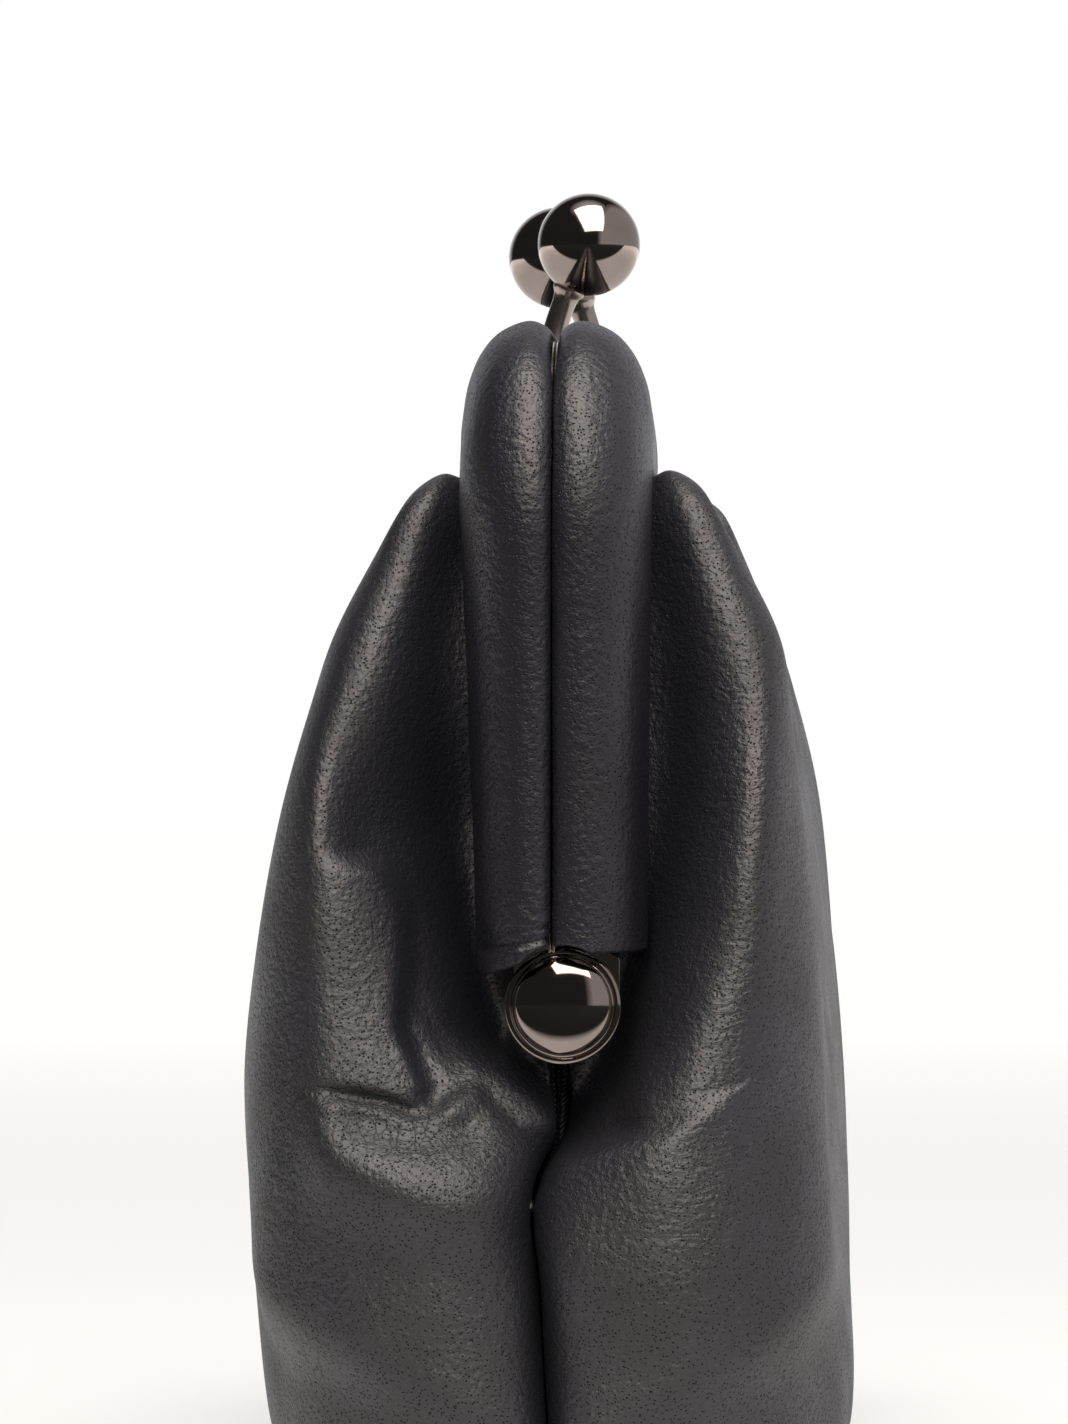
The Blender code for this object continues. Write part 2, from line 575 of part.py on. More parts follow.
def build_pouch(finishes):
    panel = loft(*panel_net(), 0.0, np.array(PANEL_ACROSS), PANEL_COUNT)
    lining = loft(*lining_net(), -LINING_INSET, np.array(LINING_ACROSS), LINING_COUNT)
    for name, side in (("front", FRONT), ("back", BACK)):
        shell(name + "_panel", panel, side, LEATHER, finishes["leather"])
        shell(name + "_lining", lining, side, LINING, finishes["lining"])
    foot = sum(PANEL_COUNT[:len(BASE_STATION_SHARES) + 1])
    edge = panel[:foot + 1, 0, :2]
    for name, margin, low, wall, finish in (
            ("base_panel", 2 * FIT, 0.0, LEATHER, "leather"),
            ("base_board", 2 * FIT + BOARD_MARGIN, LEATHER + FIT, BOARD_WALL, "board")):
        line = inset(edge, -margin)
        line[0, 0] = 0.0
        line[-1] = (edge[-1, 0] - margin, 0.0)
        outline = np.concatenate([line * (1, -1), line[-2::-1], line[1:] * (-1, 1), line[-2:0:-1] * (-1, -1)])
        prism(name, outline, low, low + wall, 2, finishes[finish])
    build_pocket(finishes["lining"])


def build_pocket(finish):
    """A flat slip pocket sewn to the back lining, following its face."""
    along = np.linspace(-POCKET_HALF_LENGTH, POCKET_HALF_LENGTH, POCKET_STEPS)
    up = np.linspace(POCKET_FOOT, POCKET_FOOT + POCKET_HEIGHT, POCKET_STEPS)
    outer = lining_face(up) - LINING - FIT
    layers = [np.array([[x, y - wall, z] for x in along for y, z in zip(outer, up)])
              for wall in (0.0, POCKET_WALL)]
    rows, count = len(up), len(along) * len(up)
    faces = []
    for i in range(len(along) - 1):
        for j in range(rows - 1):
            quad = (i * rows + j, (i + 1) * rows + j, (i + 1) * rows + j + 1, i * rows + j + 1)
            faces += [quad, tuple(count + k for k in reversed(quad))]
    last = len(along) - 1
    rim = [i * rows for i in range(last)] + [last * rows + j for j in range(rows - 1)]
    rim += [i * rows + rows - 1 for i in range(last, 0, -1)] + list(range(rows - 1, 0, -1))
    for a, b in zip(rim, rim[1:] + rim[:1]):
        faces.append((b, a, count + a, count + b))
    add_object("card_pocket", np.concatenate(layers), faces, finish)


def build_half(name, side, finishes, pivot):
    """One half of the frame: channel with its two lugs, paper cord, padding, cover, stem and ball."""
    channel = sweep(name + "_frame", ARM_FOOT, channel_section, side, finishes["steel"], pivot)
    sweep(name + "_paper_cord", ARM_FOOT, cord_section, side, finishes["paper"], pivot)
    padding = sweep(name + "_frame_padding", PADDING_FOOT, padding_section, side, finishes["padding"], pivot)
    cover = sweep(name + "_frame_cover", ARM_FOOT, cover_section, side, finishes["leather"], pivot)
    stem_guide = build_clasp(name, side, finishes, pivot)
    cut(padding, stem_guide)
    cut(cover, stem_guide)
    for end in (-1, 1):
        build_lug(name, side, end, channel, pivot)
        centre = (0.0, HINGE_BACKSET, HINGE_HEIGHT)
        reach = sorted((end * (HALF_LENGTH - WEB_DEPTH + FIT / 2), end * (HALF_LENGTH + OVERRUN)))
        notch = turned(f"{name}_notch_{end}", rod_profile(*reach, WASHER_RADIUS + FIT), centre, (1, 0, 0),
                       finishes["steel"], pivot)
        cut(cover, notch)
        cut(channel, notch)
        hole_reach = sorted((end * (HALF_LENGTH - COVER_DEPTH), end * (HALF_LENGTH + OVERRUN)))
        hole = turned(f"{name}_rivet_hole_{end}", rod_profile(*hole_reach, RIVET_RADIUS + SLIDE), centre,
                      (1, 0, 0), finishes["steel"], pivot)
        cut(channel, hole)


def rod_profile(low, high, radius):
    return [(low, 0.0), (low, radius), (high, radius), (high, 0.0)]


def build_lug(name, side, end, channel, pivot):
    """The web of the channel runs on below the arm as a flat lug.

    The front lug is round and set one wall inward; the back one keeps a square shoulder beside the washer.
    """
    out, rise = CHANNEL_WIDTH - FIT, ARM_FOOT + LUG_REACH
    reach = LUG_ROUND - HINGE_BACKSET if side == FRONT else LUG_REACH
    turn = np.linspace(math.pi / 2, 3 * math.pi / 2, LUG_ROUND_STEPS + 1)
    axis_width = side * HINGE_BACKSET
    round_end = np.stack([axis_width + LUG_ROUND * np.cos(turn), LUG_ROUND * np.sin(turn)], axis=1)
    turn = np.linspace(-math.pi / 2, 0, LUG_ROUND_STEPS // 2 + 1)[1:]
    own_round = np.stack([reach - LUG_ROUND + LUG_ROUND * np.cos(turn), LUG_ROUND * np.sin(turn)], axis=1)
    shank = [(reach, ARM_FOOT - FIT), (out, ARM_FOOT + FIT), (out, rise), (SEAM_GAP + FIT, rise),
             (SEAM_GAP + FIT, ARM_FOOT - FIT)]
    outline = np.concatenate([round_end, own_round, np.array(shank)]) * (side, 1) + (0.0, HINGE_HEIGHT)
    step = LUG_WALL + FIT if side == FRONT else 0.0
    near = HALF_LENGTH - WEB_DEPTH - step
    plates = [("lug", outline, near - LUG_WALL, near)]
    if step:
        pad = [(side * w, HINGE_HEIGHT + z) for w, z in
               ((SEAM_GAP + 2 * FIT, ARM_FOOT + 3 * FIT), (out - FIT, ARM_FOOT + 3 * FIT),
                (out - FIT, rise - FIT), (SEAM_GAP + 2 * FIT, rise - FIT))]
        plates.append(("step", pad, near - LUG_WALL / 2, near + step - SLIDE))
    for kind, line, low, high in plates:
        low, high = sorted((end * low, end * high))
        plate = prism(f"{name}_{kind}_{end}", line, low, high, 0, channel.data.materials[0], pivot)
        plate.hide_render = True
        plate.display_type = "WIRE"
        join = channel.modifiers.new("lug", "BOOLEAN")
        join.operation = "UNION"
        join.object = plate


def build_clasp(name, side, finishes, pivot):
    """A ball on a stem that starts in the padding, leans over the seam and ends in the ball's socket."""
    rise, crossing = ((FRONT_BALL_RISE, FRONT_BALL_CROSSING) if side == FRONT
                      else (BACK_BALL_RISE, BACK_BALL_CROSSING))
    along = -side * (BALL_RADIUS + BALL_GAP / 2)
    foot = np.array([along, side * STEM_OFFSET, TOP - WEB_DEPTH + FIT])
    bend = np.array([along, side * STEM_OFFSET, TOP + STEM_BEND_RISE])
    centre = np.array([along, -side * crossing, TOP + rise])
    lean = (centre - bend) / np.linalg.norm(centre - bend)
    end = centre - lean * (BALL_RADIUS - STEM_SOCKET + FIT)
    stop = 1 - np.linalg.norm(centre - end) / (2 * np.linalg.norm(centre - bend))
    share = np.linspace(0, stop, STEM_STEPS)[:, None]
    path = (1 - share) ** 2 * foot + 2 * share * (1 - share) * bend + share ** 2 * centre
    radii = STEM_FOOT_RADIUS + (STEM_TOP_RADIUS - STEM_FOOT_RADIUS) * share[:, 0]
    tube(name + "_clasp_stem", path, radii, finishes["steel"], pivot)
    sunk = np.concatenate([path[:1] - (0.0, 0.0, OVERRUN), path[1:]])
    guide = tube(name + "_stem_guide", sunk, radii + FIT, finishes["steel"], pivot)
    angles = np.linspace(math.pi, 0, BALL_STEPS + 1)
    profile = [(BALL_RADIUS * math.cos(a), BALL_RADIUS * math.sin(a)) for a in angles]
    ball = turned(name + "_clasp_ball", profile, centre, lean, finishes["steel"], pivot)
    bore = rod_profile(-BALL_RADIUS - OVERRUN, STEM_SOCKET - BALL_RADIUS, STEM_TOP_RADIUS + FIT)
    socket = turned(name + "_socket", bore, centre, lean, finishes["steel"], pivot)
    cut(ball, socket)
    return guide


def tube(name, path, radii, finish, pivot):
    """A round bar along a path in a plane across X, with flat ends."""
    tangent = np.gradient(path, axis=0)
    tangent /= np.linalg.norm(tangent, axis=1, keepdims=True)
    across = np.array([1.0, 0.0, 0.0])
    other = np.cross(tangent, across)
    turn = np.arange(STEM_SIDES) * 2 * math.pi / STEM_SIDES
    ring = np.cos(turn)[None, :, None] * across + np.sin(turn)[None, :, None] * other[:, None]
    points = path[:, None] + radii[:, None, None] * ring
    count, size = points.shape[:2]
    faces = [range(size), range((count - 1) * size, count * size)]
    for i in range(count - 1):
        for j in range(size):
            k = (j + 1) % size
            faces.append((i * size + j, i * size + k, (i + 1) * size + k, (i + 1) * size + j))
    return add_object(name, points.reshape(-1, 3), faces, finish, pivot)


RIVET_CROWN_SHARE = 0.7


def build_hinge(name, end, finish, pivot):
    """A domed rivet with its washer; the rivet's tail is spread behind the inner lug."""
    centre = (0.0, HINGE_BACKSET, HINGE_HEIGHT)
    outer = HALF_LENGTH - WEB_DEPTH + FIT
    inner = HALF_LENGTH - WEB_DEPTH - 2 * LUG_WALL - 2 * FIT
    head = outer + WASHER_WALL + FIT
    turn = np.linspace(0, math.pi / 2, DOME_STEPS)
    dome = [(head + RIVET_HEAD_HEIGHT * math.sin(a), RIVET_HEAD_RADIUS * math.cos(a)) for a in turn]
    tail = inner - RIVET_TAIL_HEIGHT
    spread = [(tail, 0.0), (tail, RIVET_TAIL_RADIUS * RIVET_CROWN_SHARE),
              (inner - RIVET_TAIL_HEIGHT / 2, RIVET_TAIL_RADIUS), (inner, RIVET_TAIL_RADIUS)]
    profile = spread + [(inner, RIVET_RADIUS), (head, RIVET_RADIUS)] + dome
    turned(name + "_hinge_rivet", profile, centre, (end, 0, 0), finish, pivot)
    low, high = sorted((end * outer, end * (outer + WASHER_WALL)))
    washer(name + "_hinge_washer", RIVET_RADIUS + SLIDE, WASHER_RADIUS, low, high, centre, finish, pivot)


def build_wallet():
    clear_scene()
    finishes = {
        "leather": material("black_lambskin", (0.024, 0.024, 0.030), 0.45),
        "lining": material("black_twill", (0.018, 0.018, 0.020), 0.85),
        "steel": material("dark_nickel_plate", (0.36, 0.31, 0.29), 0.08, 1.0),
        "padding": material("wadding", (0.55, 0.53, 0.50), 0.95),
        "paper": material("paper_cord", (0.48, 0.36, 0.22), 0.90),
        "board": material("grey_board", (0.30, 0.29, 0.27), 0.90),
    }
    hinge_line = (0.0, HINGE_BACKSET, HINGE_HEIGHT)
    pivots = {"front": add_pivot("front_frame_pivot", hinge_line),
              "back": add_pivot("back_frame_pivot", hinge_line)}
    build_pouch(finishes)
    build_half("front", FRONT, finishes, pivots["front"])
    build_half("back", BACK, finishes, pivots["back"])
    build_hinge("left", -1, finishes["steel"], pivots["back"])
    build_hinge("right", 1, finishes["steel"], pivots["back"])


build_wallet()
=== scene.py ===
"""Looks of a soft black leather wallet with a leather-covered clasp frame, seen from one end.

The sections follow the wallet as it is put together: steel frame, padding, covers, clasp, hinges,
lining, pocket, base, leather panels and paper cord, then table, light and camera. Lengths are in
metres. X runs along the hinge line to the end in view, -Y is the front half and +Z is up.
"""

import json
import math

import bmesh
import bpy
import numpy as np
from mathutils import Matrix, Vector


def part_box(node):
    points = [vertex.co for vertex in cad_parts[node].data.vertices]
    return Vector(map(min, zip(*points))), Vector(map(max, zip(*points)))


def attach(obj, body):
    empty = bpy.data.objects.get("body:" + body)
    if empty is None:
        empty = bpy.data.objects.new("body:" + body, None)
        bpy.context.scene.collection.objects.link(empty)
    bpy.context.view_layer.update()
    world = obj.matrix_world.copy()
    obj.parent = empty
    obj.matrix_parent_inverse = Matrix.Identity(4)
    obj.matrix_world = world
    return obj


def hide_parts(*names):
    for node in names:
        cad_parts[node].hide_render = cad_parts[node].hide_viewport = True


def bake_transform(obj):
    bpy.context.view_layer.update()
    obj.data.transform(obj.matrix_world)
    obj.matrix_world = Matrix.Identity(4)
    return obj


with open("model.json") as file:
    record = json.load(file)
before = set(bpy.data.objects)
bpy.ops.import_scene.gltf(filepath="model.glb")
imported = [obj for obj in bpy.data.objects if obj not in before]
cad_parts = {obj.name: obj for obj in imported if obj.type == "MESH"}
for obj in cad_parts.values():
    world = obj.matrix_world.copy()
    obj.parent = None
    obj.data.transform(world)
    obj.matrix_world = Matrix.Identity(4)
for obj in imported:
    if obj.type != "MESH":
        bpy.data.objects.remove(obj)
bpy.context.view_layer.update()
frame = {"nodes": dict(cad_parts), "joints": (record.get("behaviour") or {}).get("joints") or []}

MM = 0.001
FRONT, BACK = -1, 1
SIDES = (("front", FRONT), ("back", BACK))
HINGE_Y, HINGE = frame["joints"][0]["pos_m"][1:]
HALF_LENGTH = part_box("front_frame_cover")[1][0]
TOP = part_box("front_frame_cover")[1][2]


# Frame halves: strips of steel folded to a channel, mouth inward, and bent to an arch of two arms and a
# top bar. The web runs on below each arm as a lug for the rivet. The lip at the seam is left bright, with
# the drawn lines of the strip along it; the lugs are plated in dark nickel.

FRAME_CORNER = 22 * MM
ARM_FOOT = 5.4 * MM
SEAM_GAP = 0.08 * MM
CHANNEL_WIDTH = 4.4 * MM
CHANNEL_WALL = 0.6 * MM
CHANNEL_LIP = 0.22 * MM
LIP_DEPTH = 2.1 * MM
WEB_DEPTH = 4.0 * MM
MOUTH_DEPTH = 13.5 * MM
LUG_WALL = 0.8 * MM
LUG_REACH = 6.8 * MM
LUG_ROUND = 4.7 * MM
LUG_SHOULDER_ROUND = 0.6 * MM
FIT = 0.3 * MM
LINE_LENGTH = 40 * MM
LINE_SPACING = 0.12 * MM
ARCH_MIDDLE = TOP - FRAME_CORNER + FRAME_CORNER * math.pi / 2 + HALF_LENGTH - FRAME_CORNER


def linear(colour):
    """Linear red, green, blue and alpha of an sRGB hex colour."""
    parts = [int(colour[i:i + 2], 16) / 255 for i in (1, 3, 5)]
    return [c / 12.92 if c <= 0.04045 else ((c + 0.055) / 1.055) ** 2.4 for c in parts] + [1.0]


def give(socket, value):
    """Give an input a number, an sRGB hex colour, another socket, or a node for that node's first output."""
    if isinstance(value, bpy.types.Node):
        value = next(output for output in value.outputs if output.enabled)
    if isinstance(value, bpy.types.NodeSocket):
        socket.id_data.links.new(value, socket)
    else:
        socket.default_value = linear(value) if isinstance(value, str) else value


def feed(node, **values):
    """Give the node's inputs of those names their values."""
    for name, value in values.items():
        give(node.inputs[name.replace("_", " ")], value)


def add(tree, kind, *values, **named):
    """Add a shader node. Names in lower case are settings; plain values go to its open inputs in order."""
    made = tree.nodes.new("ShaderNode" + kind)
    for name in [name for name in named if name.islower()]:
        setattr(made, name, named.pop(name))
    for socket, value in zip([socket for socket in made.inputs if socket.enabled], values):
        give(socket, value)
    feed(made, **named)
    return made


def new_finish(name, **sockets):
    """A material whose Principled shader has those inputs; returns it, its tree and the shader."""
    made = bpy.data.materials.new(name)
    made.use_nodes = True
    shader = made.node_tree.nodes["Principled BSDF"]
    feed(shader, **sockets)
    return made, made.node_tree, shader


def stretched(tree, spacings, detail=3.0):
    """Noise on Object coordinates whose lumps have that size along X, Y and Z."""
    place = add(tree, "TexCoord").outputs["Object"]
    return add(tree, "TexNoise", add(tree, "Mapping", place, Scale=[1 / s for s in spacings]), 1.0, detail)


def drawn_steel():
    """Nickel-plated strip: fine lines from the drawing rolls run along it and streak its shine."""
    made, tree, shader = new_finish("drawn_nickel_plated_steel", Base_Color="#d6cabb", Metallic=1.0)
    place = add(tree, "SeparateXYZ", add(tree, "TexCoord").outputs["Object"]).outputs
    depth = add(tree, "Attribute", attribute_name="depth").outputs["Fac"]
    run = add(tree, "Math", place["X"], place["Z"], operation="ADD")
    across = add(tree, "Math", place["Y"], depth, operation="ADD")
    rolled = add(tree, "CombineXYZ", run, across)
    scaled = add(tree, "Mapping", rolled, Scale=(1 / LINE_LENGTH, 1 / LINE_SPACING, 1.0))
    lines = add(tree, "TexNoise", scaled, 1.0, 3.0)
    feed(shader, Roughness=add(tree, "MapRange", lines, 0.3, 0.7, 0.18, 0.32),
         Normal=add(tree, "Bump", Height=lines, Distance=0.006 * MM, Strength=0.6))
    return made


def dark_nickel_plate(name, shade, low, high):
    """Black nickel, buffed: a brownish grey mirror whose roughness varies from low to high by wiping."""
    made, tree, shader = new_finish(name, Metallic=1.0)
    wipe = stretched(tree, (2.5 * MM, 2.5 * MM, 2.5 * MM), 5.0)
    feed(shader, Roughness=add(tree, "MapRange", wipe, 0.35, 0.75, low, high),
         Base_Color=add(tree, "Mix", wipe, shade, "#94877f", data_type="RGBA"))
    return made


def rim_path(along):
    """Places on the frame's outline and inward directions, by the length from the ground at +X.

    Straight up the arm, a quarter circle round the corner, then level along the top bar.
    """
    straight = TOP - FRAME_CORNER
    turn = np.clip(along - straight, 0, FRAME_CORNER * math.pi / 2) / FRAME_CORNER
    outward = np.stack([np.cos(turn), np.sin(turn)], axis=-1)
    place = np.array([HALF_LENGTH - FRAME_CORNER, straight]) + FRAME_CORNER * outward
    place[..., 1] += np.minimum(along - straight, 0)
    place[..., 0] -= np.maximum(along - straight - FRAME_CORNER * math.pi / 2, 0)
    return place, -outward


def on_arch(along, width, depth):
    """Points at a width off the seam and a depth under the outline; past the middle X is mirrored."""
    along, width, depth = np.broadcast_arrays(along, width, depth)
    place, inward = rim_path(np.minimum(along, 2 * ARCH_MIDDLE - along))
    hand = np.where(along < ARCH_MIDDLE, 1.0, -1.0)
    return np.stack([hand * (place[..., 0] + inward[..., 0] * depth), width,
                     place[..., 1] + inward[..., 1] * depth], axis=-1)


def arch_stations(foot, count, ends=(0.0,)):
    """Lengths along the arch from foot to foot: the given ones near each foot, and even ones between."""
    ends = foot + np.array(ends)
    middle = np.linspace(ends[-1], 2 * ARCH_MIDDLE - ends[-1], count)
    return np.concatenate([ends[:-1], middle, 2 * ARCH_MIDDLE - ends[-2::-1]])


def grid_faces(rows, columns, joined):
    """Quads between the points of a grid, stored row by row; the last column may be joined to the first."""
    i, j = np.meshgrid(np.arange(rows - 1), np.arange(columns - 1 + joined), indexing="ij")
    k, i = (j + 1) % columns, i * columns
    return np.stack([i + j, i + k, i + columns + k, i + columns + j], axis=-1).reshape(-1, 4)


def swept(points):
    """Closed sections, one at each station, as a shell; quads across the section close its two ends."""
    stations, ring = points.shape[:2]
    j = np.arange(ring // 2 - 1)
    end = np.stack([j, j + 1, ring - 2 - j, ring - 1 - j], axis=1)
    faces = [grid_faces(stations, ring, True), end, end + (stations - 1) * ring]
    return points.reshape(-1, 3), np.concatenate(faces)


def plate(outline, low, high):
    """A flat outline of (width, height) points made thick along X."""
    outline, count = np.asarray(outline), len(outline)
    points = np.concatenate([np.insert(outline, 0, level, axis=1) for level in (low, high)])
    i = np.arange(count)
    sides = np.stack([i, (i + 1) % count, count + (i + 1) % count, count + i], axis=1)
    return points, [list(range(count)), list(range(count, 2 * count))] + sides.tolist()


def new_piece(name, shells, finish, sharp=40, toward=None):
    """A smooth-shaded mesh at the origin from shells of points and faces, with its faces outward."""
    points, faces, start = [], [], 0
    for shell_points, shell_faces in shells:
        points.append(shell_points)
        rows = shell_faces.tolist() if isinstance(shell_faces, np.ndarray) else shell_faces
        faces += [[start + corner for corner in dict.fromkeys(face)] for face in rows]
        start += len(shell_points)
    mesh = bpy.data.meshes.new(name)
    mesh.from_pydata(np.concatenate(points).tolist(), [], faces)
    work = bmesh.new()
    work.from_mesh(mesh)
    bmesh.ops.remove_doubles(work, verts=work.verts, dist=0.001 * MM)
    bmesh.ops.recalc_face_normals(work, faces=work.faces)
    facing = sum((face.normal * face.calc_area() for face in work.faces), Vector())
    if toward is not None and facing.dot(toward) < 0:
        bmesh.ops.reverse_faces(work, faces=work.faces)
    work.to_mesh(mesh)
    work.free()
    mesh.shade_smooth()
    mesh.set_sharp_from_angle(angle=math.radians(sharp))
    mesh.materials.append(finish)
    made = bpy.data.objects.new(name, mesh)
    bpy.context.scene.collection.objects.link(made)
    return made


def ease_edges(piece, width, segments=2):
    """Round the piece's sharp edges by a bevel."""
    bevel = piece.modifiers.new("eased_edges", "BEVEL")
    bevel.width, bevel.segments, bevel.limit_method = width, segments, "ANGLE"


def place_on(piece, body, slot, *nodes):
    """The piece moves with the body and stands for the nodes. The slot is not used."""
    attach(piece, body)
    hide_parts(*nodes)


def mark(piece, name, amount, *given):
    """Store a number for each point of the mesh, worked out from the points' places."""
    places = np.zeros(len(piece.data.vertices) * 3)
    piece.data.vertices.foreach_get("co", places)
    values = piece.data.attributes.new(name, "FLOAT", "POINT")
    values.data.foreach_set("value", np.asarray(amount(places.reshape(-1, 3), *given), np.float32))


def depth_under_outline(points):
    """How far the points lie inside the frame's outline, measured square to it."""
    over_x = np.clip(np.abs(points[:, 0]) - HALF_LENGTH + FRAME_CORNER, 0, None)
    over_z = np.clip(points[:, 2] - TOP + FRAME_CORNER, 0, None)
    return FRAME_CORNER - np.hypot(over_x, over_z)


def arc(centre, radii, start, end, count):
    """Points of an ellipse about the centre, from one angle to the other in degrees."""
    turn = np.radians(np.linspace(start, end, count))
    return np.stack([centre[0] + radii[0] * np.cos(turn), centre[1] + radii[1] * np.sin(turn)], axis=1)


def lug_outline(side):
    """The web's run below the arm: a round eye about the rivet, whose back one keeps a square shoulder."""
    out, rise, seam = CHANNEL_WIDTH - FIT, ARM_FOOT + LUG_REACH, SEAM_GAP + FIT
    reach, corner = (LUG_ROUND - HINGE_Y, LUG_ROUND) if side == FRONT else (LUG_REACH, LUG_SHOULDER_ROUND)
    parts = [arc((side * HINGE_Y, 0), (LUG_ROUND, LUG_ROUND), 90, 270, 33),
             arc((reach - LUG_ROUND, 0), (LUG_ROUND, LUG_ROUND), -90, 0, 17)[1:]]
    if side == BACK:
        parts.append(arc((reach - corner, ARM_FOOT - FIT - corner), (corner, corner), 0, 90, 9))
    parts.append([(out, ARM_FOOT + FIT), (out, rise), (seam, rise), (seam, ARM_FOOT - FIT)])
    return np.concatenate(parts) * (side, 1) + (0.0, HINGE)


nickel_strip = drawn_steel()
dark_nickel = dark_nickel_plate("polished_dark_nickel_plate", "#ac9f98", 0.045, 0.12)
# The pins' plating is a lighter shade than the ball's: a painted highlight that brightens the pins beyond
# what their satin finish gives.
satin_nickel_painted_bright = dark_nickel_plate("brightened_satin_dark_nickel_plate", "#c4b8ae", 0.24, 0.36)
lip, inner_seam = SEAM_GAP + CHANNEL_LIP, SEAM_GAP + CHANNEL_WALL
inner_face, inner_web = CHANNEL_WIDTH - CHANNEL_WALL, WEB_DEPTH + CHANNEL_WALL
channel_line = np.array([
    (SEAM_GAP, LIP_DEPTH), (lip, LIP_DEPTH), (lip, WEB_DEPTH), (CHANNEL_WIDTH, WEB_DEPTH),
    (CHANNEL_WIDTH, MOUTH_DEPTH), (inner_face, MOUTH_DEPTH), (inner_face, inner_web), (inner_seam, inner_web),
    (inner_seam, MOUTH_DEPTH), (SEAM_GAP, MOUTH_DEPTH)])
for name, side in SIDES:
    along = arch_stations(HINGE + ARM_FOOT, 181)[:, None]
    shells = [swept(on_arch(along, side * channel_line[:, 0], channel_line[:, 1]))]
    face = HALF_LENGTH - WEB_DEPTH - (LUG_WALL + FIT if side == FRONT else 0.0)
    for end in (-1, 1):
        shells.append(plate(lug_outline(side), end * (face - LUG_WALL), end * face))
    channel = new_piece(name + "_steel_channel", shells, nickel_strip)
    channel.data.materials.append(dark_nickel)
    lugs = np.arange(len(channel.data.polygons)) >= len(shells[0][1])
    channel.data.polygons.foreach_set("material_index", lugs.astype(np.int32))
    mark(channel, "depth", depth_under_outline)
    ease_edges(channel, 0.08 * MM)
    place_on(channel, name + "_half", "frame_steel", name + "_frame")


# Padding: soft cotton wadding wrapped round the channel before it is covered, so that the arms come out
# round and plump. It is white and matt, and shows only at the feet of the arms.

COVER_TOP_WIDTH = {FRONT: 9.6 * MM, BACK: 9.85 * MM}
COVER_FOOT_WIDTH = {FRONT: 7.5 * MM, BACK: 9.3 * MM}
COVER_FAR_SHARE = 0.80
COVER_DEPTH = 15.6 * MM
COVER_CROWN = 2.8 * MM
COVER_WALL = 0.9 * MM
SEAM_EDGE = 0.45 * MM
SEAM_CLOSED = 0.06 * MM
COVER_TOP_SHARES = (0.58, 0.78, 0.91, 0.98, 1.0)
COVER_FOOT_SHARES = (0.62, 0.83, 0.93, 0.98, 1.0)
COVER_DEPTH_SHARES = (0.07, 0.20, 0.38, 0.60, 0.85)
COVER_TURN = 0.4 * MM
PADDING_FOOT = 7.2 * MM

# The cover's edge at the seam in millimetres: the tucked part, then the roll out of the seam (width, depth)
TUCKED_DEPTHS = (3.7, 2.3)
SEAM_ROLL = ((0.0, 1.9), (0.0, 1.4), (0.5, 0.65), (1.3, 0.18))


def fade(values, start, end):
    """0 before the start and 1 past the end, eased at both; it also works from a high start down."""
    share = np.clip((values - start) / (end - start), 0, 1)
    return share * share * (3 - 2 * share)


def curve(knots, values, places):
    """Cubic Hermite curve through the values at the knots; the slope at a knot is its neighbours' mean."""
    knots, values = np.asarray(knots, float), np.asarray(values, float)
    slopes = np.gradient(values, knots, axis=0)
    start = np.clip(np.searchsorted(knots, places, side="right") - 1, 0, len(knots) - 2)
    shape = (-1,) + (1,) * (values.ndim - 1)
    span = (knots[start + 1] - knots[start]).reshape(shape)
    share = (places - knots[start]).reshape(shape) / span
    square, cube = share ** 2, share ** 3
    return ((2 * cube - 3 * square + 1) * values[start] + (cube - 2 * square + share) * span * slopes[start]
            + (3 * square - 2 * cube) * values[start + 1] + (cube - square) * span * slopes[start + 1])


def inset(line, distance):
    """Lines of (width, depth) points moved to their inner side, square to the line, by the distance."""
    tangent = np.gradient(line, axis=1)
    tangent /= np.linalg.norm(tangent, axis=2, keepdims=True)
    inward = np.stack([-tangent[..., 1], tangent[..., 0]], axis=-1)
    return line + inward * np.broadcast_to(distance, line.shape[:2])[..., None]


